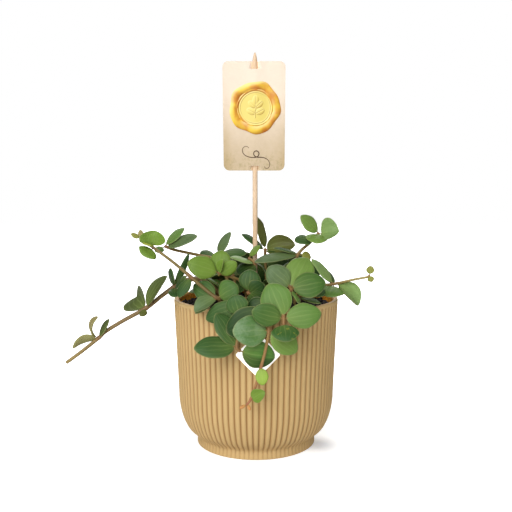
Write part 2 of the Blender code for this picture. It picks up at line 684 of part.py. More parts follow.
def revolved_tree(profile, sides):
    """A search tree over a profile turned round the pot's axis."""
    rows = []
    for radius, height in profile:
        rows.append([Vector((radius * math.cos(math.tau * n / sides), radius * math.sin(math.tau * n / sides),
                             height)) for n in range(sides)])
    return grid_tree(rows, True)


def fixed_trees():
    """Search trees of what the plant grows in and round."""
    heights = [BODY_START_HEIGHT + 2] + list(range(20, POT_HEIGHT, 15)) + [POT_HEIGHT]
    outside = [(wall_radius(height) + 0.4, height) for height in heights]
    inside = [(RIM_INNER_RADIUS - 0.8, POT_HEIGHT + 0.2), (RIM_INNER_RADIUS - 1.4, SOIL_TOP - 2)]
    soil = [(RIM_INNER_RADIUS - 2, SOIL_TOP + 1.5), (1, SOIL_TOP + 1.5)]
    stick = tube_rings([(stick_axis(height), STICK_RADIUS * 1.1) for height in (STICK_BOTTOM, STICK_TOP)])
    card = [[Vector((side * TAG_WIDTH / 2, STICK_PLACE[1] + depth, height)) for side in (-1, 1)]
            for height, depth in ((TAG_BOTTOM, 3), (TAG_BOTTOM, -3), (TAG_TOP, -3))]
    diagonal = LABEL_SIDE * math.sqrt(0.5)
    label = [[label_point(across * (1 - abs(up) / diagonal), up, 1.2) for across in (-diagonal, 0, diagonal)]
             for up in (-diagonal * 0.98, -diagonal / 2, 0, diagonal / 2, diagonal * 0.98)]
    return [revolved_tree(outside + inside, 72), revolved_tree(soil, 48), grid_tree(stick, True),
            grid_tree(card, False), grid_tree(label, False)]


def turned(leaf, lean, twist, swing, scale):
    """The leaf after a small turn at its root: up or down, about its midrib and sideways."""
    along = leaf.tip - leaf.base
    side = along.cross(leaf.face).normalized()
    up = side.cross(along).normalized()
    from_axis = along.copy()
    from_face = leaf.face.copy()
    for axis, angle in ((side, lean), (up, swing)):
        turn = math.radians(angle)
        from_axis = rotated(from_axis, axis, turn)
        from_face = rotated(from_face, axis, turn)
    from_face = rotated(from_face, from_axis.normalized(), math.radians(twist))
    return leaf._replace(tip=leaf.base + from_axis * scale, face=from_face, width=leaf.width * scale)


def rotated(vector, axis, angle):
    """A vector turned about a unit axis."""
    along = axis * axis.dot(vector)
    return along + (vector - along) * math.cos(angle) + axis.cross(vector) * math.sin(angle)


def turn_choices():
    """Small turns to try, gentlest first."""
    choices = []
    for scale in (1.0, 0.9, 0.8):
        for lean in (0, 7, -7, 14, -14, 22, -22, 32, -32):
            for twist in (0, 14, -14, 28, -28):
                for swing in (0, 9, -9, 18, -18, 28, -28):
                    cost = abs(lean) + 0.5 * abs(twist) + 0.9 * abs(swing) + 170 * (1 - scale)
                    choices.append((cost, len(choices), (lean, twist, swing, scale)))
    return [choice for _, _, choice in sorted(choices)]


def touches(trees, others):
    """Whether any tree of one list meets any tree of another."""
    return any(tree.overlap(other) for tree in trees for other in others)


def place_leaves(stems, optional):
    """Finds each leaf's place, turned just enough to stand clear of all other pieces.

    Gives the placed leaves by stem. An optional stem's leaf with no room isn't grown.
    """
    surroundings = fixed_trees()
    tubes = {}
    for stem in stems:
        tubes[stem.name] = grid_tree(tube_rings(stem_line(stem)), True)
    blades = {stem.name: [] for stem in stems}
    placed = {stem.name: [] for stem in stems}
    choices = turn_choices()
    for stem in stems:
        fine = smooth_route(stem.route, STEPS)
        for wish in stem.leaves:
            base = fine[leaf_step(stem, wish)]
            share = wish.at / (len(stem.route) - 1)
            root = (stem.thick + (stem.thin - stem.thick) * share) / 2 * ROOT_SHARE
            base -= (Vector(wish.tip) - base).normalized() * ROOT_SINK
            leaf = Placed(base.copy(), Vector(wish.tip), Vector(wish.face), wish.width, wish.fold,
                          wish.curl, root, wish.width > SMALL_LEAF and stem.name not in optional)
            others = list(surroundings)
            for name in tubes:
                if name != stem.name:
                    others.append(tubes[name])
                    others += [tree for pair, _ in blades[name] for tree in pair]
            own = [tubes[stem.name]] + [tree for _, pair in blades[stem.name] for tree in pair]
            found = None
            for choice in choices:
                trial = turned(leaf, *choice)
                if touches(leaf_trees(trial, CLEARANCE, False), others):
                    continue
                if touches(leaf_trees(trial, OWN_CLEARANCE, True), own):
                    continue
                found = trial
                break
            if found is None and stem.name in optional:
                continue
            if found is None:
                print("no room for a leaf of", stem.name, "towards", wish.tip)
                continue
            placed[stem.name].append(found)
            blades[stem.name].append((leaf_trees(found, 0, False), leaf_trees(found, 0, True)))
    return placed


def hanging_stem(number, azimuth, low, rng):
    """A stem that climbs over the back rim and hangs outside the pot, with whorls of three leaves."""
    turn = math.radians(azimuth)
    out = Vector((math.cos(turn), math.sin(turn), 0))
    across = Vector((-math.sin(turn), math.cos(turn), 0))
    path = list(HANGING_PATH)
    while path[-1][1] > low + HANGING_STEP / 2:
        path.append((path[-1][0] + 0.7, path[-1][1] - HANGING_STEP))
    route = []
    for step, (reach, height) in enumerate(path):
        sway = 0 if step < 2 else rng.uniform(-3, 3)
        route.append(out * reach + across * sway + Vector((0, 0, height)))
    leaves = []
    for step in [3] + list(range(5, len(route))):
        turned_whorl = step % 2
        for spread in (-1, 0, 1):
            slant = spread + (0.45 if turned_whorl else 0)
            hang = step >= 5
            along = across * slant + out * (0.75 - 0.35 * abs(spread))
            along += Vector((0, 0, -0.55 if hang else 0.15)) + Vector((0, 0, 0.5 if spread else 0))
            along.normalize()
            reach = rng.uniform(*LEAF_REACH) * (0.7 if step == len(route) - 1 else 1)
            face = out * 0.7 + Vector((0, 0, 0.75)) + across * rng.uniform(-0.25, 0.25)
            leaves.append(Leaf(step - 0.2 * abs(spread), tuple(route[step] + along * reach),
                               reach * LEAF_ROUNDNESS, tuple(face), -5, 24))
    name = f"back_stem_{number + 1}"
    colour = BACK_GREENS[number % len(BACK_GREENS)]
    return Stem(name, tuple(tuple(point) for point in route), 2.7, 1.8, colour, tuple(leaves))


def standing_stem(number, foot, top, rng):
    """A stem that stands in the crown, with a whorl of four leaves at its top and a pair lower down."""
    foot = Vector((*foot, 106))
    top = Vector(top)
    low = foot + Vector((0, 0, 17))
    route = [foot, low, low.lerp(top, 0.5), top, top + Vector((0, 0, TOP_BUD))]
    leaves = []
    start = rng.uniform(0, math.tau)
    for step, count, lift in ((3, 4, 0.45), (2, 2, 0.1)):
        for leaf in range(count):
            turn = start + math.tau * leaf / count + 0.6 * (3 - step) + rng.uniform(-0.2, 0.2)
            out = Vector((math.cos(turn), math.sin(turn), lift)).normalized()
            reach = rng.uniform(*LEAF_REACH)
            face = Vector((-out.x * 0.5, -out.y * 0.5 - 0.1, 1))
            leaves.append(Leaf(step - 0.2 * (leaf % 2), tuple(route[step] + out * reach),
                               reach * LEAF_ROUNDNESS, tuple(face), -5, 24))
    name = f"crown_stem_{number + 1}"
    colour = BACK_GREENS[(number + 2) % len(BACK_GREENS)]
    return Stem(name, tuple(tuple(point) for point in route), 2.6, 2.2, colour, tuple(leaves))


def back_stems():
    """The stems behind, made by rule with one seeded draw."""
    rng = random.Random(SEED)
    stems = [hanging_stem(number, azimuth, low, rng) for number, (azimuth, low) in enumerate(HANGING)]
    stems += [standing_stem(number, foot, top, rng) for number, (foot, top) in enumerate(STANDING)]
    return stems


def stem_mesh(stem):
    """The bare stem: a thinning tube along its route, as a welded mesh."""
    line = stem_line(stem)
    curve = bpy.data.curves.new(stem.name, "CURVE")
    curve.dimensions = "3D"
    curve.bevel_depth = MM
    curve.bevel_resolution = 1
    curve.use_fill_caps = True
    spline = curve.splines.new("POLY")
    spline.points.add(len(line) - 1)
    for point, (place, radius) in zip(spline.points, line):
        point.co = (*(place * MM), 1)
        point.radius = radius
    thing = bpy.data.objects.new(stem.name, curve)
    bpy.context.scene.collection.objects.link(thing)
    mesh = evaluated_mesh(thing)
    bpy.data.objects.remove(thing, do_unlink=True)
    bm = bmesh.new()
    bm.from_mesh(mesh)
    bmesh.ops.remove_doubles(bm, verts=bm.verts, dist=0.00002)
    bmesh.ops.recalc_face_normals(bm, faces=bm.faces)
    bm.to_mesh(mesh)
    bm.free()
    return mesh


def leaf_mesh(leaf):
    """A leaf: a strip from its root in the stem to its tip, given the blade's thickness."""
    rows = leaf_rows(leaf, 0, 0)
    columns = len(rows[0]) - 1
    bm = bmesh.new()
    bmesh.ops.create_grid(bm, x_segments=columns, y_segments=len(rows) - 1, size=0.5)
    for vert in bm.verts:
        row = rows[round((vert.co.y + 0.5) * (len(rows) - 1))]
        vert.co = row[round((vert.co.x + 0.5) * columns)]
    bmesh.ops.remove_doubles(bm, verts=bm.verts, dist=0.02)
    bmesh.ops.triangulate(bm, faces=bm.faces)
    bmesh.ops.recalc_face_normals(bm, faces=bm.faces)
    before = sum((vert.co for vert in bm.verts), Vector()) / len(bm.verts)
    bmesh.ops.solidify(bm, geom=bm.faces[:], thickness=BLADE)
    middle = sum((vert.co for vert in bm.verts), Vector()) / len(bm.verts)
    bmesh.ops.translate(bm, vec=before - middle, verts=bm.verts)
    bmesh.ops.recalc_face_normals(bm, faces=bm.faces)
    return mesh_from(bm, "leaf")


def islands(bm):
    """The faces of a mesh, sorted into separate shells, the largest first."""
    left = set(bm.faces)
    found = []
    while left:
        front = [left.pop()]
        shell = list(front)
        while front:
            face = front.pop()
            near = {other for edge in face.edges for other in edge.link_faces} & left
            left -= near
            front += near
            shell += near
        found.append(shell)
    return sorted(found, key=len, reverse=True)


def close_body(mesh, smallest):
    """Splits a mesh into triangles, fills sealed hollows and tells whether one closed body is left.

    A hollow or loose scrap has fewer faces than smallest.
    """
    bm = bmesh.new()
    bm.from_mesh(mesh)
    bmesh.ops.triangulate(bm, faces=bm.faces)
    shells = islands(bm)
    for shell in shells[1:]:
        if len(shell) < smallest:
            bmesh.ops.delete(bm, geom=shell, context="FACES")
    whole = all(len(shell) < smallest for shell in shells[1:])
    whole = whole and all(edge.is_manifold for edge in bm.edges)
    bm.to_mesh(mesh)
    bm.free()
    return whole


def remove_leaves(repeats):
    """Removes the single leaves from their collection."""
    for blade in list(repeats.objects):
        bpy.data.objects.remove(blade, do_unlink=True)


def grow_leaves(leaves, sink, repeats):
    """Fills a collection with leaves, each let a little deeper into its stem by sink."""
    for number, leaf in enumerate(leaves):
        shift = (leaf.base - leaf.tip).normalized() * sink
        mesh = leaf_mesh(leaf._replace(base=leaf.base + shift, tip=leaf.tip + shift))
        repeats.objects.link(bpy.data.objects.new(f"leaf_{number}", mesh))


def make_leafy_stem(stem, leaves, group):
    """One leafy stem: its leaves joined to it as one body, let in a little deeper until it's sound."""
    thing = add_object(stem.name, stem_mesh(stem), group, stem.colour, ROUGHNESS["leaf"])
    repeats = new_collection(stem.name + "_leaves")
    join = thing.modifiers.new("join_leaves", "BOOLEAN")
    join.operation = "UNION"
    join.operand_type = "COLLECTION"
    join.collection = repeats
    for sink, solver in itertools.product(SINKS, ("EXACT", "MANIFOLD")):
        remove_leaves(repeats)
        grow_leaves(leaves, sink, repeats)
        join.solver = solver
        bpy.context.view_layer.update()
        joined = evaluated_mesh(thing)
        if close_body(joined, HOLLOW_FACES):
            break
    material = thing.data.materials[0]
    thing.modifiers.remove(join)
    thing.data = joined
    joined.materials.clear()
    joined.materials.append(material)
    remove_leaves(repeats)
    bpy.data.collections.remove(repeats)
    return thing


def main():
    """Builds the potted plant."""
    clear_scene()
    group = new_collection("trailing_peperomia")
    cutters = new_collection("cutters")
    make_pot(group)
    make_stick(group)
    make_tag(group)
    make_label(group)
    behind = back_stems()
    stems = list(FRONT_STEMS) + behind
    placed = place_leaves(stems, {stem.name for stem in behind})
    for stem in stems:
        make_leafy_stem(stem, placed[stem.name], group)
        foot = stem.route[0]
        make_hole(foot[:2], stem.thick / 2 + STEM_HOLE_PLAY, foot[2] - GAP, STEM_SIDES, cutters)
    foot = stick_axis(STICK_BOTTOM)
    make_hole(foot[:2], STICK_RADIUS + STICK_HOLE_PLAY, STICK_BOTTOM - GAP, STICK_SIDES, cutters)
    make_soil(group, cutters)
    return placed


main()
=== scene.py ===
"""The look of a trailing peperomia in its ribbed pot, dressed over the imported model.

Lengths in the tables are in millimetres, as in the part's source, and MM turns them into metres.
The plant's front looks along -Y, +Z is up and the origin is the middle of the pot's underside.
"""
import math
import random
from collections import namedtuple

import bpy
import numpy as np
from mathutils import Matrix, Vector
from mathutils.kdtree import KDTree


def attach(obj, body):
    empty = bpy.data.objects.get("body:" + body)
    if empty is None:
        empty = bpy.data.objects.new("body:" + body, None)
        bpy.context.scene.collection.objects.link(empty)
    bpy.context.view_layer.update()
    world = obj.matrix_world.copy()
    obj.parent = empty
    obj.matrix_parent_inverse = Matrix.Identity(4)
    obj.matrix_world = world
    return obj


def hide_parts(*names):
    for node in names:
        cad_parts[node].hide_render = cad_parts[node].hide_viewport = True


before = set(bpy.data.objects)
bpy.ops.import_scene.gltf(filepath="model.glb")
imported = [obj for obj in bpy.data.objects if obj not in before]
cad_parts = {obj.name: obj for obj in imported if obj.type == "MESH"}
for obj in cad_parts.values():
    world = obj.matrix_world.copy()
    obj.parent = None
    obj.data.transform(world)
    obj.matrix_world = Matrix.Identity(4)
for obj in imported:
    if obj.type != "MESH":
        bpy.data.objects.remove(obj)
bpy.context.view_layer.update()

MM = 0.001

# The camera that fits the photograph
CAMERA_PLACE = (0, -0.600, 0.2151)
CAMERA_TILT = 84.78
CAMERA_LENS = 49.57

# Pot
POT_HEIGHT = 125
RIM_RADIUS = 70
RIM_INNER_RADIUS = 66
FOOT_RADIUS = 51
NECK_RADIUS = 50.2
NECK_HEIGHT = 7.5
BODY_START_RADIUS = 51.3
BODY_START_HEIGHT = 9.5
SHOULDER_RADIUS = 66.4
SHOULDER_HEIGHT = 44
BELLY_POWER = 1.85
RIB_COUNT = 84
RIB_DEPTH = 1.3
RIB_TOP = 123
INNER_RIB_DEPTH = 1.0
WALL = 4.6
FLOOR_TOP = 6
FLOOR_RADIUS = 45
# Levels above the foot, and where the belly's rows start
FOOT_LEVELS = (1, 2.5, 4, 5.2, 6, 6.7, 7.4, 8, 8.6, 9.2, 9.8, 10.4, 11, 11.7, 12.5, 13.5)
FOOT_RIBS = 0.4
BELLY_START = 14.2
# How far below their top the ribs start to run out
RIB_RUN_OUT = 2.6
# How far up and down the corner above the foot is eased
FOOT_EASE = 2.6

# Soil
SOIL_TOP = 118.5
SOIL_BUMP = 0.9
SOIL_ROUGHNESS = 0.8
SOIL_RIPPLE = 0.5
SOIL_SEED = 5
CRUMB_COUNT = 1500
CRUMB_SIZES = (0.5, 0.6, 0.7, 0.9, 1.2, 1.7)
CRUMB_LUMPS = (0.6, 1.25)

# Stick and tag
STICK_RADIUS = 2.1
STICK_PLACE = (-0.75, 8)
STICK_BOTTOM = 48
STICK_TOP = 332
STICK_POINT = 7
STICK_LEAN = 0.3
TAG_WIDTH = 53.4
TAG_TAPER = 0.03
TAG_SHIFT = -0.8
TAG_BOTTOM = 233
TAG_TOP = 324.5
TAG_THICKNESS = 0.8
TAG_CORNER = 5
SLIT_HEIGHTS = (237, 318)
SLIT_HALF = 4.8
BOW_HALF = 2.2
TAG_PUSH = 2.9
# The dressed card: its thickness, how far its sides stand off the stick's axis, how wide it swells in
# its middle and how much it bows
CARD_THICKNESS = 0.5
CARD_REST = 2.0
CARD_SWELL = 12
CARD_BOW = 0.6

# Label on the front of the pot
LABEL_SIDE = 25
LABEL_CENTRE_Z = 90
LABEL_CENTRE_X = 1.5
LABEL_CORNER = 1.6
PAPER_THICKNESS = 0.3

# Leaves and stems
PETIOLE = 3.5
NECK_LIMIT = 0.3
BLADE_FULLNESS = 0.52
LEAF_BLADE = 1.6
NODE_SWELL = 0.16
NODE_REACH = 2.2
ROOT_SINK = 0.9
ROOT_SHARE = 0.5
STEPS = 5

FRONT = (0, -0.94, 0.34)
TILTED = (0, -0.7, 0.7)
FLAT = (0, -0.35, 0.94)

Leaf = namedtuple("Leaf", "at tip width face fold curl", defaults=(FRONT, -5, 18))
Stem = namedtuple("Stem", "name route thick thin leaves")
Placed = namedtuple("Placed", "base tip face width fold curl root")

# Each stem's points run from its foot in the soil to its end. A leaf leaves the stem at the point
# numbered "at" and reaches to its tip; its upper side looks along face.
FRONT_STEMS = (
    Stem("front_trailing_stem",
         ((8, -34, 106), (8, -34, 123), (8, -50, 130), (9, -65, 132), (10, -77, 127), (9.5, -82, 112),
          (7, -81.5, 97), (4, -81.5, 85), (0, -80, 70), (-4, -78.5, 58.5), (-7, -79, 54.5)),
         2.9, 1.7, (
        Leaf(5, (-17, -91, 113), 22.5),
        Leaf(5, (31, -80, 95), 18),
        Leaf(7, (4.8, -86, 71.3), 9.5),
        Leaf(9, (6.6, -84, 66), 10, FRONT, 30),
        Leaf(10, (-12.5, -80, 52), 2.6),
        Leaf(10, (-4.4, -82, 50.8), 2.4),
        Leaf(4.2, (-22.5, -81, 110.5), 23, (0, -0.99, 0.12)),
        Leaf(3.6, (-7, -71.5, 126), 16, (0, -0.9, 0.4)))),
    Stem("front_left_stem",
         ((-6, -30, 106), (-6, -30, 123), (-7, -46, 130), (-9, -63, 132), (-11, -74, 127),
          (-13, -77, 112), (-14.5, -79.5, 99), (-12, -79.5, 96)),
         2.7, 2.2, (
        Leaf(6, (-46, -87, 100), 18.5, (0, -0.75, 0.66)),
        Leaf(6, (-30, -73.5, 124), 17, (0.4, -0.85, 0.3)),
        Leaf(7, (14.5, -77, 90), 21, (0, -1, 0.15)),
        Leaf(3.6, (-39, -63.5, 117), 16, (-0.55, -0.8, 0.2)),
        Leaf(4.4, (-16.5, -76, 138), 17))),
    Stem("front_right_stem",
         ((18, -30, 106), (18, -30, 123), (18, -46, 130), (19, -63, 133), (20, -77, 130),
          (20.5, -83, 122), (20.5, -85, 115)),
         2.9, 2.2, (
        Leaf(5, (10, -77, 147), 23, (-0.1, -0.93, 0.35)),
        Leaf(5, (49, -81, 125), 18.5, (0.1, -0.95, 0.3)),
        Leaf(5, (-3, -89, 128), 17, (0, -0.85, 0.5)),
        Leaf(5.5, (22, -99, 107.5), 20, (0, -0.35, 0.94)),
        Leaf(6, (25, -96, 113), 5.5, FLAT))),
    Stem("right_cluster_stem",
         ((24, -20, 106), (24, -20, 123), (25, -38, 134), (26, -54, 142), (26.5, -62, 141.5),
          (27, -66, 140)),
         2.9, 2.4, (
        Leaf(4, (9, -58, 157), 18.5),
        Leaf(4.5, (54, -60, 146), 20, (0.1, -0.9, 0.45)),
        Leaf(4, (41, -51, 165.5), 22, (0.1, -0.85, 0.5)),
        Leaf(5, (33, -73, 131), 13, (0.8, -0.1, 0.6)))),
    Stem("middle_stem",
         ((-2, -22, 106), (-2, -22, 123), (-3, -36, 130), (-6, -48, 135.5), (-6, -51, 135.5)),
         2.7, 2.3, (
        Leaf(3, (-4, -46, 154), 17),
        Leaf(4, (-1, -66, 126), 13),
        Leaf(3, (6, -50, 143), 15),
        Leaf(4, (4, -60, 123), 15))),
    Stem("bright_stem",
         ((-8, -12, 106), (-8, -12, 123), (-9, -24, 137), (-14, -34, 144), (-22, -38, 147.5),
          (-30, -40, 150.5)),
         2.4, 2.0, (
        Leaf(5, (-54, -46, 159.5), 18.5, (-0.1, -0.9, 0.45)),
        Leaf(5, (-28, -36, 168.5), 17, (0, -0.9, 0.4)),
        Leaf(5, (-26, -47, 162), 7, (-0.5, -0.8, 0.3), 30),
        Leaf(5, (-15.5, -44, 159.5), 11.5, (0.1, -0.95, 0.3)))),
    Stem("left_rising_stem",
         ((-16, -24, 106), (-16, -24, 123), (-19, -40, 128), (-26, -54, 131.5), (-31, -58, 133),
          (-44, -55, 143), (-55, -52, 152), (-67, -47, 161), (-79, -42, 169), (-85, -41, 173),
          (-92, -40, 177.5)),
         2.8, 1.6, (
        Leaf(4, (-50, -49, 144), 15),
        Leaf(4, (-47, -67, 123.5), 13, (-0.2, -0.6, 0.75), 30),
        Leaf(4, (-14, -62, 143), 18.5),
        Leaf(5.8, (-64, -47, 139), 8, (-0.85, -0.35, 0.4)),
        Leaf(5.6, (-62.5, -59, 135), 9.5, (-0.3, -0.8, 0.5)),
        Leaf(8.4, (-80.5, -43, 184.5), 20, FRONT, 30),
        Leaf(9, (-92, -34, 183), 10),
        Leaf(8.4, (-88, -52, 165.5), 16),
        Leaf(9, (-85, -50, 175), 9),
        Leaf(10, (-99.5, -40, 182), 4.5, TILTED),
        Leaf(10, (-92, -40, 185), 4.5),
        Leaf(4, (-38.5, -69, 117), 14, (-0.4, -0.85, 0.3)))),
    Stem("left_upper_stem",
         ((-22, 0, 106), (-22, 0, 123), (-25, 4, 140), (-34, 5, 156), (-48, 3, 160.5),
          (-58, 0, 163), (-70, -3, 166), (-77, -5, 169)),
         2.6, 2.2, (
        Leaf(7, (-61, -2, 185), 15, (-0.61, -0.46, 0.64)),
        Leaf(6.8, (-49, -13, 178.5), 15, (-0.26, -0.55, 0.8)),
        Leaf(7, (-84, -13, 165), 8, TILTED))),
    Stem("left_trailing_stem",
         ((-30, -10, 106), (-30, -10, 123), (-35, -14, 134), (-46, -18, 142), (-58, -22, 142),
          (-67.5, -25, 137), (-78, -27.5, 129.5), (-89.5, -30, 120.5), (-108, -33, 110.5),
          (-122, -35, 102), (-127.5, -36, 97), (-140, -38, 87), (-153, -40, 77.5)),
         3.5, 2.3, (
        Leaf(5, (-70, -29, 153), 11, (-0.85, -0.5, 0)),
        Leaf(5, (-65, -40, 131), 10, FLAT),
        Leaf(5, (-54.6, -28, 165), 6, (0.5, -0.85, 0.1)),
        Leaf(7, (-72, -35, 147.5), 13, (-0.6, -0.65, 0.45), 25),
        Leaf(7, (-101, -13, 128), 23, (-0.76, -0.38, 0.53), 45),
        Leaf(7, (-93, -38, 115), 6.5, TILTED),
        Leaf(10, (-127, -41, 115.5), 11, (-0.92, -0.38, 0.05), 8, 120),
        Leaf(10, (-118, -33, 111.5), 10, (-0.62, -0.66, 0.42)),
        Leaf(10, (-147.5, -43, 90), 14, (-0.4, 0.45, 0.8), 20, 50))),
    Stem("right_reaching_stem",
         ((33, -6, 106), (33, -6, 123), (38, -9, 131), (50, -12, 136.5), (64, -15, 138),
          (80, -18, 142), (91.5, -20, 144.5), (94, -20, 146)),
         2.5, 1.6, (
        Leaf(4, (47.5, -9, 159), 15, (0.65, -0.45, 0.6)),
        Leaf(4, (57, 1, 153), 14, (0.5, -0.5, 0.7)),
        Leaf(4, (59, -35, 131), 21, (0, -0.45, 0.9)),
        Leaf(4.2, (85.5, -21, 121), 20, (0.5, -0.75, 0.42), 30),
        Leaf(7, (95, -20, 154), 6.5),
        Leaf(6.7, (95.8, -23, 141), 5.5))),
    Stem("upper_right_stem",
         ((26, 6, 106), (26, 6, 123), (27, 6, 140), (36, 5, 161), (46, 5, 171), (53.8, 5, 179.5)),
         2.8, 2.3, (
        Leaf(5, (38.5, 2, 195), 15, (0.46, -0.75, 0.46)),
        Leaf(5, (70.5, -2, 182), 20, (-0.3, -0.85, 0.5), 40),
        Leaf(5, (49, -13, 173), 18, (0.3, -0.45, 0.85)),
        Leaf(4.4, (33, -3, 173.5), 14, (-0.1, -0.6, 0.8)),
        Leaf(3, (-1.5, -10, 156.5), 15, (0, -0.36, 0.93)),
        Leaf(3, (15, 5, 167), 11, (0.2, -0.12, 0.97)),
        Leaf(3, (48, 10, 158), 8.5),
        Leaf(2, (60, 20, 148), 15))),
    Stem("upper_middle_stem",
         ((10, 26, 106), (10, 26, 123), (9, 27, 140), (8.2, 28, 155), (8.2, 28, 164)),
         2.5, 2.2, (
        Leaf(4, (1, 27, 193), 12, (0.78, -0.62, 0.16)),
        Leaf(4, (34.5, 19, 168.5), 18, (-0.25, -0.85, 0.45), 40),
        Leaf(4, (-12.5, 24, 178), 13, (0.56, -0.38, 0.73)),
        Leaf(3.8, (31, 15, 164.5), 12, FLAT),
        Leaf(3, (-2, 36, 131), 18),
        Leaf(3, (32, 36, 143), 18))),
    Stem("inner_middle_stem",
         ((-4, -6, 106), (-4, -6, 123), (-3, -7, 140), (-1, -7, 154), (-6, -5, 159)),
         2.5, 2.1, (
        Leaf(3, (-21.5, -15, 161), 15, (0.2, -0.4, 0.9)),
        Leaf(4, (3, -4, 170), 11, (-0.74, -0.4, 0.54)),
        Leaf(3, (-15, -20, 147), 16, (-0.1, -0.85, 0.5)))),
    Stem("upper_left_stem",
         ((-18, 18, 106), (-18, 18, 123), (-20, 19, 140), (-28, 20, 153), (-34, 20, 159)),
         2.4, 2.0, (
        Leaf(4, (-8, 13, 162), 16, (0, -0.5, 0.86)),
        Leaf(4, (-49, 13, 161), 14, (-0.1, -0.55, 0.83)),
        Leaf(4, (-23, 22, 180), 14, (-0.66, -0.55, 0.5)),
        Leaf(2, (-10, 30, 159), 15))),
    Stem("inner_right_stem",
         ((36, -26, 106), (36, -26, 123), (34, -38, 128), (33, -47, 131.5), (41, -43, 133.5)),
         2.4, 2.2, (
        Leaf(3, (51.5, -48, 127.5), 12, FLAT),
        Leaf(4, (56, -30, 136), 13, TILTED))),
)

# Stems that hang over the back rim: azimuth in degrees and the height of the stem's end
HANGING = ((60, 74), (90, 36), (118, 58))
HANGING_PATH = ((33, 106), (33, 123), (46, 131), (60, 135), (73, 131), (79.5, 119), (80, 100))
HANGING_STEP = 25
# Stems that stand in the crown behind: foot and top, in millimetres
STANDING = (((-34, 34), (-34, 38, 135)), ((-8, 42), (-9, 50, 147)), ((16, 44), (17, 52, 146)),
            ((36, 27), (38, 33, 137)), ((-34, 8), (-34, 6, 133)), ((13, 10), (14, 9, 134)))
TOP_BUD = 3
SEED = 14
LEAF_REACH = (21, 27)
LEAF_ROUNDNESS = 0.82
BACK_FOLD = -5
BACK_CURL = 24
STEM_FOOT = 106
# Thickness of the stems behind, at the foot and at the end
HANGING_GIRTH = (2.7, 1.8)
STANDING_GIRTH = (2.6, 2.2)

# How fine the dressed pieces are
RIB_COLUMNS = 8
BELLY_STEPS = 18
FOOT_EASE_STEPS = 6
SOIL_RINGS = 34
SOIL_SIDES = 120
STICK_SIDES = 28
LABEL_CELLS = 40
FINE_STEPS = 9
STALK_SIDES = 10
LEAF_CELLS = 14
PETIOLE_SIDES = 8
PETIOLE_BAYS = 5
CARD_COLUMNS = 54
CARD_ROWS = 92

# The print on the card
SEAL_RADIUS = 23
SEAL_PLACE = (0.6, 285.8)
SEAL_RINGS = 100
SEAL_BACK_RINGS = 24
SEAL_SIDES = 288
# The sprig's leaves, in shares of the seal's radius: where each starts, its lean, length and half width
SEAL_LEAVES = ((-0.22, 62, 0.36, 0.12), (-0.22, -62, 0.36, 0.12), (0.0, 48, 0.34, 0.11),
               (0.0, -48, 0.34, 0.11), (0.1, 0, 0.34, 0.12))
SCROLL_HEIGHT = 249.5
SCROLL_WIDTH = 24
SCROLL_LEAN = 8
SCROLL_TURN = -4.6
SCROLL_LOOP = 0.34
SCROLL_STEPS = 200
INK_THICKNESS = 0.12

# The stage: its lights by name, place, size and power, and the place they look at
LIGHTS = (("key", (-0.42, -1.42, 0.9), 1.6, 28.2), ("back_fill", (-0.1, 1.6, 0.9), 1.8, 20))
LIT_PLACE = (0, 0, 0.13)
WORLD_LIGHT = 0.31
WORLD_TINT = (1.0, 0.945, 0.83)
FLOOR_SIZE = 8
FLOOR_GLOW = 2.3
FLOOR_SHARE = 0.3
FLOOR_FADE = (0.09, 0.30)
# Middle and reach of the shadow painted on the floor beside the pot's foot, in metres
PAINTED_SHADOW_PLACE = (0.0545, -0.015)
PAINTED_SHADOW_REACH = (0.023, 0.026)

# How each stem's leaves look, in the order of the stem's table
LEAF_TONES = {
    "front_trailing_stem": "dusty lively lime bright bract bract shade shade",
    "front_left_stem": "deep deep split deep deep",
    "front_right_stem": "fresh fresh mid fleck young",
    "right_cluster_stem": "greyed mid lively fresh",
    "middle_stem": "deep shade dark shade",
    "bright_stem": "bright bright bright bright",
    "left_rising_stem": "deep greyed mid shade dark bright lively bright young olive khaki dark",
    "left_upper_stem": "fresh greyed fresh",
    "left_trailing_stem": "dark dark dark moss moss brown khaki moss khaki",
    "right_reaching_stem": "pale dark fresh pale olive olive",
    "upper_right_stem": "lively pale lively deep greyed dark olive shade",
    "upper_middle_stem": "brown brown dark shade shade shade",
    "inner_middle_stem": "pale bright shade",
    "upper_left_stem": "deep deep greyed shade",
    "inner_right_stem": "mid dark",
}
BACK_TONES = ("mid", "deep", "fresh", "greyed", "mid", "pale")

# Each tone: blade colour, and how strongly the veins, the grey dust with its painted sheen and the yellow
# flecks show
Tone = namedtuple("Tone", "colour veins dust flecks", defaults=(0.5, 0.0, 0.0))
TONES = {
    "bright": Tone("66842f", 0.5),
    "lime": Tone("8ba843", 0.5),
    "young": Tone("959d3b", 0.6),
    "lively": Tone("6a893e", 0.6),
    "fresh": Tone("587b37", 0.7),
    "pale": Tone("7b9a58", 0.6, 0.1),
    "mid": Tone("416429", 0.6),
    "deep": Tone("355626", 0.6),
    # dark and shade are darker copies of the leaves' green: over the leaves' own colour they hold painted
    # shade for leaves deep in the foliage.
    "dark": Tone("294a1f", 0.4),
    "shade": Tone("1e3d15", 0.35),
    # split: one half of the blade is painted darker, as painted shade.
    "split": Tone("4a7530", 0.5),
    "greyed": Tone("4a6238", 0.5, 0.25),
    "dusty": Tone("3c662c", 0.5, 0.8),
    "fleck": Tone("335a26", 0.5, 0.0, 0.5),
    "olive": Tone("85873f", 0.4),
    "khaki": Tone("8f8556", 0.4),
    "moss": Tone("475428", 0.8),
    "brown": Tone("565a28", 0.6),
    "bract": Tone("c58a52", 0.2),
}
LEAF_LIGHT = (0.93, 1.07)
VEIN_LIGHT = (0.8, 1.2)
STEM_GREEN = "857f48"
NODE_RED = "85503a"
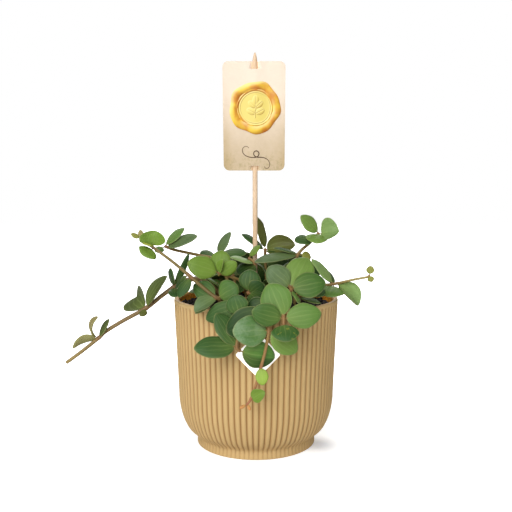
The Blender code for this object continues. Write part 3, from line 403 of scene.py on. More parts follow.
# A stem's colour at its foot and at its end, and how much thicker than its packed form it looks
STEM_SKINS = {
    "front_trailing_stem": ("8a7040", "b57a56", 1.1),
    "left_rising_stem": ("5f4c2a", "84703f", 1.25),
    "left_trailing_stem": ("70583a", "93804f", 1.25),
    "right_reaching_stem": ("8c7446", "a3965a", 1.15),
}
PLAIN_SKIN = ("8a7042", "8a7042", 1.12)

# How a leaf turns at its root to stand clear of the other pieces: degrees up, about its midrib and
# sideways, and its size where it is smaller. Leaves go by their number on the stem, and one with None
# has no room and isn't grown.
LEAF_TURNS = {
    "front_left_stem": {2: (0, 14, 0), 3: (0, -14, 0), 4: (0, -14, 0)},
    "front_right_stem": {2: (0, -28, 0), 4: (-22, 0, 0)},
    "right_cluster_stem": {2: (-7, 0, 0)},
    "middle_stem": {1: (0, 0, 18), 2: (0, 28, 0), 3: (0, 0, 18, 0.8)},
    "bright_stem": {1: (0, -14, 0), 3: (0, 14, 0)},
    "left_rising_stem": {0: (-7, 0, 0), 4: (0, 0, 9), 6: (-7, 0, 0), 8: (-7, 28, 0), 11: (7, 28, -28)},
    "left_trailing_stem": {7: (7, -14, 0)},
    "right_reaching_stem": {1: (-7, 0, 0), 3: (0, -14, 0)},
    "upper_right_stem": {2: (0, 14, 0)},
    "upper_middle_stem": {3: (-7, 0, 0), 4: (0, -14, 0)},
    "inner_middle_stem": {0: (0, 14, 0), 2: (0, 14, 0)},
    "inner_right_stem": {0: (0, -14, 0)},
    "back_stem_1": {1: (0, -14, 0), 2: (-7, 28, 0), 5: (0, -14, 0)},
    "back_stem_2": {1: (0, -14, 0), 2: (-7, 0, 0), 5: (7, 0, 0), 8: (0, -14, 0)},
    "back_stem_3": {1: (0, -28, 0), 2: (-7, 14, 0), 3: (-7, 0, 0), 5: (0, -14, 0), 13: (0, 14, 0)},
    "crown_stem_1": {0: (0, 0, -9), 1: (0, 14, -28), 2: (-22, 28, 28, 0.8), 3: (-7, -28, 0),
                     4: (-7, 28, 0)},
    "crown_stem_2": {1: (0, 0, 9), 2: (14, 0, 0), 3: (0, -14, 0), 4: (-14, 0, 0), 5: (-22, 28, 9)},
    "crown_stem_3": {0: (7, 14, 0), 1: None, 2: (-7, 28, 0), 3: (22, 28, 0), 4: (-22, 28, 18, 0.8),
                     5: (0, 14, 18)},
    "crown_stem_4": {1: (32, -28, -9), 2: (0, 0, 28), 3: (-32, 0, 0)},
    "crown_stem_5": {0: None, 1: (-14, 14, 0), 3: (0, -28, 0), 4: (0, 0, -9, 0.9)},
    "crown_stem_6": {0: (32, 14, -9), 2: (32, -14, 0), 3: (0, 0, -9, 0.8), 4: (0, 0, 28, 0.8),
                     5: (-7, 0, 0)},
}


def wall_radius(height):
    """Radius of the pot's rib crests at a height."""
    if height >= SHOULDER_HEIGHT:
        share = (height - SHOULDER_HEIGHT) / (POT_HEIGHT - SHOULDER_HEIGHT)
        return SHOULDER_RADIUS + (RIM_RADIUS - SHOULDER_RADIUS) * share
    drop = (SHOULDER_HEIGHT - height) / (SHOULDER_HEIGHT - BODY_START_HEIGHT)
    swell = (1 - drop ** BELLY_POWER) ** (1 / BELLY_POWER)
    return BODY_START_RADIUS + (SHOULDER_RADIUS - BODY_START_RADIUS) * swell


def inner_radius(height):
    """Radius of the inner wall at a height: straight from the floor to the shoulder, then up the body."""
    if height >= SHOULDER_HEIGHT:
        return wall_radius(height) - WALL
    share = (height - FLOOR_TOP) / (SHOULDER_HEIGHT - FLOOR_TOP)
    return FLOOR_RADIUS + (SHOULDER_RADIUS - WALL - FLOOR_RADIUS) * share


def soil_height(x, y):
    """Height of the soil's uneven top."""
    waves = math.sin(x / 7 + 1) * math.cos(y / 9) + math.sin(x / 13 - y / 6)
    return SOIL_TOP + SOIL_BUMP * waves / 2


def stick_axis(height):
    """Place of the stick's axis at a height: it leans a little to the left."""
    share = (height - STICK_BOTTOM) / (STICK_TOP - STICK_BOTTOM)
    return Vector((STICK_PLACE[0] + STICK_LEAN * (0.5 - share), STICK_PLACE[1], height))


def label_point(across, up, lift):
    """A place on the pot's front, across and up from the label's middle, lifted off the crests."""
    height = LABEL_CENTRE_Z + up
    radius = wall_radius(height) + lift
    angle = (LABEL_CENTRE_X + across) / wall_radius(LABEL_CENTRE_Z)
    return Vector((radius * math.sin(angle), -radius * math.cos(angle), height))


def smooth(share):
    """Eases from 0 to 1."""
    share = min(1, max(0, share))
    return share * share * (3 - 2 * share)


def smooth_route(points, steps):
    """Points on the smooth curve through the given ones, whose first stretch is straight."""
    knots = [Vector(point) for point in points]
    pulls = [knots[1] - knots[0]] * 2
    pulls += [(after - before) / 2 for before, after in zip(knots[1:], knots[3:])]
    pulls.append(knots[-1] - knots[-2])
    route = []
    for start, end, pull_in, pull_out in zip(knots, knots[1:], pulls, pulls[1:]):
        for number in range(steps):
            t = number / steps
            route.append((2 * t ** 3 - 3 * t ** 2 + 1) * start + (t ** 3 - 2 * t ** 2 + t) * pull_in
                         + (3 * t ** 2 - 2 * t ** 3) * end + (t ** 3 - t ** 2) * pull_out)
    return route + [knots[-1]]


def leaf_step(stem, leaf):
    """The fine step of a stem's route that a leaf leaves from."""
    return min(round(leaf.at * STEPS), (len(stem.route) - 1) * STEPS)


def blade_half_width(place):
    """Half width of a blade, as a share of its widest, from its neck (0) to its tip (1)."""
    return max(0.0, math.sin(math.pi * place ** 0.92)) ** 0.58


def rotated(vector, axis, angle):
    """A vector turned about a unit axis."""
    along = axis * axis.dot(vector)
    return along + (vector - along) * math.cos(angle) + axis.cross(vector) * math.sin(angle)


def turned(leaf, lean, twist, swing, scale=1.0):
    """The leaf after a small turn at its root: up or down, about its midrib and sideways."""
    along = leaf.tip - leaf.base
    side = along.cross(leaf.face).normalized()
    up = side.cross(along).normalized()
    from_axis = along.copy()
    from_face = leaf.face.copy()
    for axis, angle in ((side, lean), (up, swing)):
        turn = math.radians(angle)
        from_axis = rotated(from_axis, axis, turn)
        from_face = rotated(from_face, axis, turn)
    from_face = rotated(from_face, from_axis.normalized(), math.radians(twist))
    return leaf._replace(tip=leaf.base + from_axis * scale, face=from_face, width=leaf.width * scale)


def placed_leaves(stem):
    """A stem's leaves in their places, each after the small turn that keeps it clear of the other pieces.

    The leaves of one node start from the same place, each sunk a little further than the one before.
    """
    fine = smooth_route(stem.route, STEPS)
    turns = LEAF_TURNS.get(stem.name, {})
    leaves = []
    for number, wish in enumerate(stem.leaves):
        base = fine[leaf_step(stem, wish)]
        base -= (Vector(wish.tip) - base).normalized() * ROOT_SINK
        turn = turns.get(number, (0, 0, 0))
        if turn is None:
            continue
        share = wish.at / (len(stem.route) - 1)
        root = (stem.thick + (stem.thin - stem.thick) * share) / 2 * ROOT_SHARE
        leaf = Placed(base.copy(), Vector(wish.tip), Vector(wish.face), wish.width, wish.fold, wish.curl,
                      root)
        leaves.append(turned(leaf, *turn))
    return leaves


def hanging_stem(number, azimuth, low, rng):
    """A stem that climbs over the back rim and hangs outside the pot, with whorls of three leaves."""
    turn = math.radians(azimuth)
    out = Vector((math.cos(turn), math.sin(turn), 0))
    across = Vector((-math.sin(turn), math.cos(turn), 0))
    path = list(HANGING_PATH)
    while path[-1][1] > low + HANGING_STEP / 2:
        path.append((path[-1][0] + 0.7, path[-1][1] - HANGING_STEP))
    route = []
    for step, (reach, height) in enumerate(path):
        sway = 0 if step < 2 else rng.uniform(-3, 3)
        route.append(out * reach + across * sway + Vector((0, 0, height)))
    leaves = []
    for step in [3] + list(range(5, len(route))):
        for spread in (-1, 0, 1):
            slant = spread + (0.45 if step % 2 else 0)
            hang = step >= 5
            along = across * slant + out * (0.75 - 0.35 * abs(spread))
            along += Vector((0, 0, -0.55 if hang else 0.15)) + Vector((0, 0, 0.5 if spread else 0))
            along.normalize()
            reach = rng.uniform(*LEAF_REACH) * (0.7 if step == len(route) - 1 else 1)
            face = out * 0.7 + Vector((0, 0, 0.75)) + across * rng.uniform(-0.25, 0.25)
            leaves.append(Leaf(step - 0.2 * abs(spread), tuple(route[step] + along * reach),
                               reach * LEAF_ROUNDNESS, tuple(face), BACK_FOLD, BACK_CURL))
    return Stem(f"back_stem_{number + 1}", tuple(map(tuple, route)), *HANGING_GIRTH, tuple(leaves))


def standing_stem(number, foot, top, rng):
    """A stem that stands in the crown, with a whorl of four leaves at its top and a pair lower down."""
    foot = Vector((*foot, STEM_FOOT))
    top = Vector(top)
    low = foot + Vector((0, 0, 17))
    route = [foot, low, low.lerp(top, 0.5), top, top + Vector((0, 0, TOP_BUD))]
    leaves = []
    start = rng.uniform(0, math.tau)
    for step, count, lift in ((3, 4, 0.45), (2, 2, 0.1)):
        for leaf in range(count):
            turn = start + math.tau * leaf / count + 0.6 * (3 - step) + rng.uniform(-0.2, 0.2)
            out = Vector((math.cos(turn), math.sin(turn), lift)).normalized()
            reach = rng.uniform(*LEAF_REACH)
            face = Vector((-out.x * 0.5, -out.y * 0.5 - 0.1, 1))
            leaves.append(Leaf(step - 0.2 * (leaf % 2), tuple(route[step] + out * reach),
                               reach * LEAF_ROUNDNESS, tuple(face), BACK_FOLD, BACK_CURL))
    return Stem(f"crown_stem_{number + 1}", tuple(map(tuple, route)), *STANDING_GIRTH, tuple(leaves))


def back_stems():
    """The stems behind, made by rule with one seeded draw."""
    rng = random.Random(SEED)
    stems = [hanging_stem(number, azimuth, low, rng) for number, (azimuth, low) in enumerate(HANGING)]
    stems += [standing_stem(number, foot, top, rng) for number, (foot, top) in enumerate(STANDING)]
    return stems


def linear(code):
    """The linear colour of a display colour that is written as six hexadecimal digits."""
    parts = [int(code[place:place + 2], 16) / 255 for place in (0, 2, 4)]
    return tuple(part / 12.92 if part <= 0.04045 else ((part + 0.055) / 1.055) ** 2.4 for part in parts)


class Number:
    """A number socket that Python's own signs work on."""

    def __init__(self, finish, socket):
        self.finish = finish
        self.socket = socket

    def maths(self, operation, *values, clamp=False):
        settings = {"operation": operation, "use_clamp": clamp}
        node = self.finish.node("ShaderNodeMath", settings, dict(enumerate(values)))
        return Number(self.finish, node.outputs[0])

    def __add__(self, other):
        return self.maths("ADD", self, other)

    def __sub__(self, other):
        return self.maths("SUBTRACT", self, other)

    def __rsub__(self, other):
        return self.maths("SUBTRACT", other, self)

    def __mul__(self, other):
        return self.maths("MULTIPLY", self, other)

    def __truediv__(self, other):
        return self.maths("DIVIDE", self, other)

    def __rtruediv__(self, other):
        return self.maths("DIVIDE", other, self)

    def __pow__(self, other):
        return self.maths("POWER", self, other)

    __radd__ = __add__
    __rmul__ = __mul__

    def __abs__(self):
        return self.maths("ABSOLUTE", self)

    def clamped(self):
        return self.maths("ADD", self, 0, clamp=True)

    def most(self, other):
        return self.maths("MAXIMUM", self, other)

    def between(self, low, high):
        """Rises smoothly from 0 to 1 as the number goes from low to high."""
        settings = {"interpolation_type": "SMOOTHSTEP"}
        node = self.finish.node("ShaderNodeMapRange", settings, {0: self, 1: low, 2: high})
        return Number(self.finish, node.outputs[0])


class Nodes:
    """The shader nodes of a material or of the room, added one by one."""

    def __init__(self, tree):
        self.tree = tree

    def node(self, kind, settings, sockets):
        """Adds a node, with its settings set first and then the values or links of its sockets."""
        node = self.tree.nodes.new(kind)
        for name, value in settings.items():
            setattr(node, name, value)
        for key, value in sockets.items():
            self.feed(node.inputs[key], value)
        return node

    def feed(self, entry, value):
        """Links a socket to an entry, or sets the entry's value."""
        if isinstance(value, Number):
            value = value.socket
        if isinstance(value, bpy.types.NodeSocket):
            self.tree.links.new(value, entry)
        elif isinstance(value, str):
            entry.default_value = (*linear(value), 1)[:len(entry.default_value)]
        else:
            entry.default_value = value

    def number(self, node):
        """A node's first output as a Number."""
        return Number(self, node.outputs[0])


class Finish(Nodes):
    """A material with one Principled shader."""

    def __init__(self, name, colour, roughness, **numbers):
        self.material = bpy.data.materials.new(name)
        self.material.use_nodes = True
        super().__init__(self.material.node_tree)
        self.shader = self.tree.nodes["Principled BSDF"]
        self.feed(self.shader.inputs["Base Color"], colour)
        self.feed(self.shader.inputs["Roughness"], roughness)
        for name, number in numbers.items():
            self.feed(self.shader.inputs[name.replace("_", " ")], number)

    def place(self):
        """Object coordinates."""
        return self.node("ShaderNodeTexCoord", {}, {}).outputs["Object"]

    def axes(self, vector):
        """The three numbers of a vector."""
        node = self.node("ShaderNodeSeparateXYZ", {}, {0: vector})
        return [Number(self, output) for output in node.outputs]

    def stretched(self, scale):
        """Object coordinates scaled along each axis."""
        return self.node("ShaderNodeMapping", {}, {0: self.place(), 3: scale}).outputs[0]

    def noise(self, scale, detail=2.0, roughness=0.5, at=None):
        """A soft random pattern."""
        sockets = {0: at or self.place(), "Scale": scale, "Detail": detail, "Roughness": roughness}
        return self.number(self.node("ShaderNodeTexNoise", {}, sockets))

    def blend(self, share, low, high):
        """Goes from the low colour to the high one by a share."""
        return self.node("ShaderNodeMix", {"data_type": "RGBA"}, {0: share, 6: low, 7: high}).outputs[2]

    def brightened(self, colour, factor):
        """A colour multiplied by a number."""
        node = self.node("ShaderNodeVectorMath", {"operation": "SCALE"}, {0: colour, 3: factor})
        return node.outputs[0]

    def tone(self, name):
        """The colour that a piece keeps for each point."""
        return self.node("ShaderNodeAttribute", {"attribute_name": name}, {}).outputs["Color"]

    def marks(self, name):
        """The three numbers that a piece keeps for each point."""
        parts = self.node("ShaderNodeSeparateColor", {}, {0: self.tone(name)})
        return [Number(self, output) for output in parts.outputs]

    def bump(self, height, distance, strength=1.0):
        """Raises the surface by a height."""
        sockets = {"Strength": strength, "Distance": distance, "Height": height}
        self.feed(self.shader.inputs["Normal"], self.node("ShaderNodeBump", {}, sockets).outputs[0])

    def wear(self, colour, roughness=None):
        """Feeds the shader's colour, and its roughness where that varies."""
        self.feed(self.shader.inputs["Base Color"], colour)
        if roughness is not None:
            self.feed(self.shader.inputs["Roughness"], roughness)
        return self.material


def leaf_finish():
    """Fleshy leaf: faint curved veins, a thin light rim, grey dust with a painted sheen, flecks, and a paler
    underside.
    """
    leaf = Finish("peperomia_leaf", "4f8440", 0.5, Specular_IOR_Level=0.25)
    tone = leaf.tone("leaf_colour")
    upper, stalk, edge = leaf.marks("leaf_form")
    vein_share, dust, flecks = leaf.marks("leaf_marks")
    spread = leaf.node("ShaderNodeUVMap", {"uv_map": "UVMap"}, {}).outputs[0]
    across, along, _ = leaf.axes(spread)
    wander = leaf.noise(140) - 0.5
    off_middle = abs(across * 2 - 1 + wander * 0.2)
    veins = off_middle * 0
    for line, width, strength in ((0.0, 0.085, 1.0), (0.36, 0.075, 0.7), (0.68, 0.07, 0.5)):
        one = (1 - abs(off_middle - line) / width).clamped()
        veins = veins.most(one * one * strength)
    veins = veins * (1.15 - along * 0.8).clamped() * along.between(0.0, 0.06)
    long_map = leaf.node("ShaderNodeMapping", {}, {0: spread, 3: (17, 2.6, 1)}).outputs[0]
    streak_sockets = {"Vector": long_map, "W": vein_share * 40, "Scale": 1.0, "Detail": 3.0}
    streaks = leaf.number(leaf.node("ShaderNodeTexNoise", {"noise_dimensions": "4D"}, streak_sockets))
    glow = (1 - along).clamped() ** 2.2 * (1 - off_middle * 0.6)
    patches = leaf.noise(55, 3.0)
    fine = leaf.noise(900)
    rim = edge.between(0.94, 1.0)
    colour = leaf.brightened(tone, 0.60 + patches * 0.36 + streaks * 0.40 + fine * 0.10)
    colour = leaf.blend(glow * 0.3, colour, "8ea24e")
    colour = leaf.blend(veins * vein_share * 0.46, colour, "9fb26c")
    # Grey dust and a painted sheen: a pale frosting, stronger towards the tip, where the tone asks for it.
    dusty = dust * (leaf.noise(90, 4.0, 0.7).between(0.30, 0.75) * 0.6 + 0.1) * (0.25 + along * 0.75)
    colour = leaf.blend(dusty, colour, "a9bba0")
    spots = leaf.noise(300).between(0.60, 0.68) * flecks * (along * (1 - along) * 4)
    colour = leaf.blend(spots, colour, "a9a63e")
    colour = leaf.blend((1 - upper) * 0.5, colour, "8b9160")
    colour = leaf.blend(rim * 0.3, colour, "9aa066")
    colour = leaf.blend(stalk, colour, "94653f")
    height = fine * 0.10 - veins * 0.30 + streaks * 0.22 + leaf.noise(210) * 0.35
    leaf.bump(height, 0.00035, 0.6)
    return leaf.wear(colour, 0.44 + patches * 0.16 + dusty * 0.3)


def stalk_finish():
    """Stem skin: tan to reddish at the nodes, with lengthwise streaks."""
    stalk = Finish("stem_skin", "94744f", 0.5, Specular_IOR_Level=0.3)
    tone = stalk.tone("leaf_colour")
    streaks = stalk.noise(260, 3.0, 0.6)
    fine = stalk.noise(1100)
    colour = stalk.brightened(tone, 0.76 + streaks * 0.42 + fine * 0.12)
    stalk.bump(streaks * 0.6 + fine * 0.4, 0.0003, 0.6)
    return stalk.wear(colour, 0.42 + fine * 0.16)


def pot_finish():
    """Ochre moulded plastic with a faint grain, with painted shade that makes its grooves darker and redder,
    and painted bounce light that makes its inner wall a brighter orange.
    """
    pot = Finish("ochre_plastic", "c9a468", 0.6, Specular_IOR_Level=0.15)
    grain = pot.noise(900)
    cloud = pot.noise(26)
    depth, inside, _ = pot.marks("rib_form")
    # Painted shade: the grooves are darkened and reddened by their depth.
    colour = pot.blend((depth ** 0.5).between(0.12, 1.0) * 0.6, "c9ab78", "75420a")
    # Painted bounce light: the inner wall is turned a brighter, warmer orange.
    colour = pot.blend(inside * 0.9, colour, "f0a030")
    colour = pot.brightened(colour, 0.93 + cloud * 0.09 + grain * 0.05)
    pot.bump(grain, 0.0002, 0.35)
    return pot.wear(colour, 0.56 + grain * 0.12)


def soil_finish():
    """Near-black crumbly potting soil with brown bits."""
    soil = Finish("potting_soil", "17110f", 0.9)
    lumps = soil.noise(520, 4.0, 0.7)
    bits = soil.noise(300).between(0.60, 0.70)
    colour = soil.blend(lumps.between(0.35, 0.8), "0d0a0b", "33272a")
    colour = soil.blend(bits * 0.75, colour, "4a3226")
    soil.bump(lumps, 0.0012, 0.9)
    return soil.wear(colour, 0.75 + lumps * 0.2)


def stick_finish():
    """Pale bare wood with lengthwise grain."""
    wood = Finish("pale_wood", "dcb98c", 0.62, Specular_IOR_Level=0.3)
    grain = wood.noise(1, 4.0, 0.6, at=wood.stretched((900, 900, 26)))
    cloud = wood.noise(40)
    colour = wood.blend(grain.between(0.35, 0.75), "e2c8ac", "cfab82")
    colour = wood.brightened(colour, 0.93 + cloud * 0.12)
    wood.bump(grain, 0.0003, 0.5)
    return wood.wear(colour, 0.55 + grain * 0.15)


def card_finish():
    """Cream card that darkens to tan at its foot and edges, mottled and fibrous, with painted light on its
    strips behind the stick: they are brightened and glow a little to lift the shade of their recess.
    """
    card = Finish("cream_card", "d8c8ae", 0.72, Specular_IOR_Level=0.3, Emission_Strength=0.3)
    across, _, height = card.axes(card.place())
    low = 1 - height.between(TAG_BOTTOM * MM, (TAG_BOTTOM + 70) * MM)
    centre = (STICK_PLACE[0] + STICK_LEAN * 1.2 + TAG_SHIFT) * MM
    off = abs(across - centre) / (TAG_WIDTH / 2 * MM)
    cloud = card.noise(75, 4.0, 0.65)
    fibre = card.noise(1, 3.0, 0.6, at=card.stretched((300, 300, 900)))
    shade = low * 0.8 + off.between(0.7, 1.0) * 0.12 + off.between(0.5, 1.0) * low * 0.15
    shade = shade + cloud * 0.5 - 0.25
    colour = card.blend(shade.clamped(), "e6d6c5", "b8a37f")
    colour = card.brightened(colour, 0.92 + cloud * 0.10 + fibre * 0.07)
    fleck = card.noise(420, 3.0, 0.6).between(0.45, 0.72)
    foot = 1 - height.between(TAG_BOTTOM * MM, (TAG_BOTTOM + 22) * MM)
    colour = card.blend(fleck * (foot * 0.42 + low * 0.06), colour, "93875a")
    # Painted light: the strips behind the stick are brightened and glow, lifting the shade of their recess.
    strip, _, _ = card.marks("strip")
    colour = card.brightened(colour, 1 + strip * 0.35)
    card.feed(card.shader.inputs["Emission Color"], card.brightened("d8c8ae", strip))
    card.bump(fibre, 0.00015, 0.4)
    return card.wear(colour, 0.68 + fibre * 0.12)


def seal_finish():
    """Printed gold: pale yellow where the relief faces up and left, orange-brown where it turns away."""
    gold = Finish("printed_gold", "d8aa28", 0.4, Specular_IOR_Level=0.4)
    dark, light, field = gold.marks("seal_form")
    swirl = gold.noise(95)
    fine = gold.noise(1400)
    colour = gold.blend(swirl.between(0.35, 0.65), "cc8010", "e6c02c")
    colour = gold.blend(field, colour, "dfcb6a")
    colour = gold.blend(dark, colour, "8f4a0e")
    colour = gold.blend(light, colour, "f3e79c")
    colour = gold.brightened(colour, 0.94 + fine * 0.06)
    return gold.wear(colour, 0.36 + swirl * 0.1)


def ink_finish():
    """Dark brown printing ink, a little uneven."""
    ink = Finish("brown_ink", "4a3528", 0.6, Specular_IOR_Level=0.2)
    return ink.wear(ink.brightened("4a3528", 0.8 + ink.noise(500, 3.0) * 0.5))


def paper_finish():
    """Plain white label paper, with a faint glow: painted light that keeps it white in the leaves' shade."""
    paper = Finish("white_label", "fafaf8", 0.6, Specular_IOR_Level=0.3, Emission_Strength=0.62)
    fibre = paper.noise(800, 3.0)
    paper.bump(fibre, 0.0001, 0.3)
    return paper.wear(paper.brightened("fbf7f1", 0.97 + fibre * 0.03))


def deselect():
    """Leaves nothing selected."""
    for thing in bpy.context.selected_objects:
        thing.select_set(False)


def start_edit(thing, mode="VERT"):
    """Opens a piece for editing with nothing in it selected."""
    deselect()
    bpy.context.view_layer.objects.active = thing
    thing.select_set(True)
    bpy.ops.object.mode_set(mode="EDIT")
    bpy.ops.mesh.select_mode(type=mode)
    bpy.ops.mesh.select_all(action="DESELECT")


def end_edit():
    """Closes the piece that is being edited."""
    bpy.ops.object.mode_set(mode="OBJECT")


def named(name):
    """Gives the piece that an operator has just added its name."""
    thing = bpy.context.object
    thing.name = name
    thing.data.name = name
    return thing


def places_of(thing):
    """The points of a piece as rows of three numbers."""
    places = np.empty(len(thing.data.vertices) * 3)
    thing.data.vertices.foreach_get("co", places)
    return places.reshape(-1, 3)


def move_points(thing, places):
    """Gives a piece's points new places."""
    thing.data.vertices.foreach_set("co", np.asarray(places, float).ravel())
    thing.data.update()


def set_marks(thing, name, *channels):
    """Keeps up to three numbers for each point, as a colour attribute."""
    count = len(thing.data.vertices)
    layer = thing.data.color_attributes.new(name, "FLOAT_COLOR", "POINT")
    values = np.ones((count, 4))
    values[:, 0:3] = 0
    for column, channel in enumerate(channels):
        values[:, column] = channel
    layer.data.foreach_set("color", values.ravel())


def join(things, name):
    """Joins pieces into the first one."""
    deselect()
    for thing in things:
        thing.select_set(True)
    bpy.context.view_layer.objects.active = things[0]
    if len(things) > 1:
        bpy.ops.object.join()
    return named(name)


def finish_mesh(thing, angle=50):
    """Points the faces outwards and shades them smooth up to an angle."""
    start_edit(thing)
    bpy.ops.mesh.select_all(action="SELECT")
    bpy.ops.mesh.normals_make_consistent(inside=False)
    end_edit()
    bpy.ops.object.shade_smooth_by_angle(angle=math.radians(angle))


def copied(master, name):
    """A copy of a piece with a mesh of its own."""
    copy = master.copy()
    copy.data = master.data.copy()
    bpy.context.collection.objects.link(copy)
    copy.name = name
    return copy


def ring_stack(name, sides, rows, size=MM, fill="NOTHING"):
    """Rings of points, one above the other and joined by faces, for moving into shape."""
    bpy.ops.mesh.primitive_circle_add(vertices=sides, radius=size, fill_type=fill)
    thing = named(name)
    start_edit(thing)
    bpy.ops.mesh.select_all(action="SELECT")
    for _ in range(rows - 1):
        bpy.ops.mesh.extrude_region_move(TRANSFORM_OT_translate={"value": (0, 0, size)})
    end_edit()
    return thing


def close_ends(thing, sides, rows):
    """Fills the first and the last ring of a stack with a face each."""
    start_edit(thing, "EDGE")
    end_edit()
    for level in (0, rows - 1):
        ring = range(level * sides, (level + 1) * sides)
        for edge in thing.data.edges:
            edge.select = edge.vertices[0] in ring and edge.vertices[1] in ring
        bpy.ops.object.mode_set(mode="EDIT")
        bpy.ops.mesh.edge_face_add()
        bpy.ops.mesh.select_all(action="DESELECT")
        end_edit()


def sheet(name, columns, rows):
    """A flat square grid, two units wide, for moving into shape."""
    bpy.ops.mesh.primitive_grid_add(x_subdivisions=columns, y_subdivisions=rows, size=2)
    return named(name)


def thicken(thing, thickness):
    """Makes a solid of a sheet, half of it to each side."""
    thick = thing.modifiers.new("thickness", "SOLIDIFY")
    thick.thickness = thickness
    thick.offset = 0
    bpy.context.view_layer.objects.active = thing
    bpy.ops.object.modifier_apply(modifier="thickness")


def turns_of(sides):
    """The angles of a ring's points."""
    return np.arange(sides) * math.tau / sides


def ring_points(x, y, height):
    """A level ring's points as rows of three numbers."""
    return np.stack((x, y, np.full(len(x), float(height))), 1)


def paint(thing, finish, colours, form=(0,), marks=(0,), spread=(0, 0)):
    """Gives a part of a leafy stem its finish, with the colour, form, marks and pattern map of each point."""
    set_marks(thing, "leaf_colour", *np.transpose(colours))
    set_marks(thing, "leaf_form", *form)
    set_marks(thing, "leaf_marks", *marks)
    layer = thing.data.uv_layers.get("UVMap") or thing.data.uv_layers.new(name="UVMap")
    corners = np.empty(len(thing.data.loops), int)
    thing.data.loops.foreach_get("vertex_index", corners)
    spread = [np.broadcast_to(np.asarray(shares, float), len(thing.data.vertices)) for shares in spread]
    layer.data.foreach_set("uv", np.stack([shares[corners] for shares in spread], axis=1).ravel())
    thing.data.materials.clear()
    thing.data.materials.append(finish)


def dress(thing, node, finish=None):
    """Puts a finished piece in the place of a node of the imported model."""
    if finish:
        thing.data.materials.clear()
        thing.data.materials.append(finish)
    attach(thing, "root")
    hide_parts(node)


def rib_depth(share):
    """Depth at a share of the way across a rounded rib, from 0 at its crest to 1 in the groove."""
    across = abs(share * 2 - 1)
    return 1 - math.sqrt(max(0.0, 1 - (0.985 * (1 - across)) ** 2))


def eased_radius(height):
    """Radius of the pot's outside near its foot, with the corner above the foot eased."""
    steps = FOOT_EASE_STEPS
    heights, radii = (0, NECK_HEIGHT, BODY_START_HEIGHT), (FOOT_RADIUS, NECK_RADIUS, BODY_START_RADIUS)
    total = 0
    for number in range(-steps, steps + 1):
        near = max(0, height + number * FOOT_EASE / steps)
        total += np.interp(near, heights, radii) if near < BODY_START_HEIGHT else wall_radius(near)
    return total / (2 * steps + 1)


def pot_rows():
    """Rows of the dressed pot, up the outside and down the inside.

    Each row is a crest radius, a height, how much of the ribs it has and whether it lies inside.
    """
    rows = [(FOOT_RADIUS - 3.0, 0.0, 0, 0), (FOOT_RADIUS - 0.9, 0.0, 0.1, 0),
            (FOOT_RADIUS - 0.2, 0.4, 0.3, 0)]
    for height in FOOT_LEVELS:
        ribs = FOOT_RIBS + (1 - FOOT_RIBS) * smooth((height - 3) / 9)
        rows.append((eased_radius(height), height, ribs, 0))
    belly = SHOULDER_HEIGHT - BELLY_START
    for number in range(1, BELLY_STEPS):
        height = SHOULDER_HEIGHT - belly * math.cos(math.pi / 2 * number / BELLY_STEPS)
        rows.append((wall_radius(height), height, 1, 0))
    top = RIB_TOP - RIB_RUN_OUT
    for height in (SHOULDER_HEIGHT, 60, 80, 100, 116, top):
        rows.append((wall_radius(height), height, 1, 0))
    for lift, share in ((0.9, 0.92), (1.6, 0.6), (2.0, 0.2), (2.3, 0.0)):
        rows.append((wall_radius(top + lift), top + lift, share, 0))
    for edge, sign, inside in ((RIM_RADIUS - 0.1, 1, 0), (RIM_INNER_RADIUS, -1, 0.5)):
        for turn in (0, 30, 60, 90)[::sign]:
            angle = math.radians(turn)
            rows.append((edge - sign + sign * math.cos(angle), POT_HEIGHT - 1.0 + math.sin(angle), 0, inside))
    for height, ribs in ((POT_HEIGHT - 2.0, 0), (POT_HEIGHT - 2.4, 0.7), (POT_HEIGHT - 3.2, 1), (112, 1),
                         (80, 1)):
        rows.append((inner_radius(height) + 0.3, height, -ribs, 1))
    rows += [(inner_radius(SHOULDER_HEIGHT), SHOULDER_HEIGHT, 0, 1), (FLOOR_RADIUS, FLOOR_TOP, 0, 1)]
    return rows


def add_pot():
    """The ribbed pot: a ring of points extruded row by row, with a rounded crest between narrow grooves."""
    columns = RIB_COUNT * RIB_COLUMNS
    rows = pot_rows()
    pot = ring_stack("ribbed_pot", columns, len(rows))
    turns = turns_of(columns)
    depths = np.array([rib_depth(number % RIB_COLUMNS / RIB_COLUMNS) for number in range(columns)])
    places, deep, inside = [], [], []
    for radius, height, ribs, inward in rows:
        depth = RIB_DEPTH if ribs >= 0 else -INNER_RIB_DEPTH
        reach = (radius - depth * abs(ribs) * depths) * MM
        places.append(ring_points(reach * np.sin(turns), -reach * np.cos(turns), height * MM))
        deep.append(depths * abs(ribs))
        inside.append(np.full(columns, float(inward)))
    move_points(pot, np.concatenate(places))
    # The groove depth carries the finish's painted shade, and the inside its painted bounce light.
    set_marks(pot, "rib_form", np.concatenate(deep), np.concatenate(inside))
    close_ends(pot, columns, len(rows))
    finish_mesh(pot, angle=60)
    dress(pot, "pot", pot_finish())


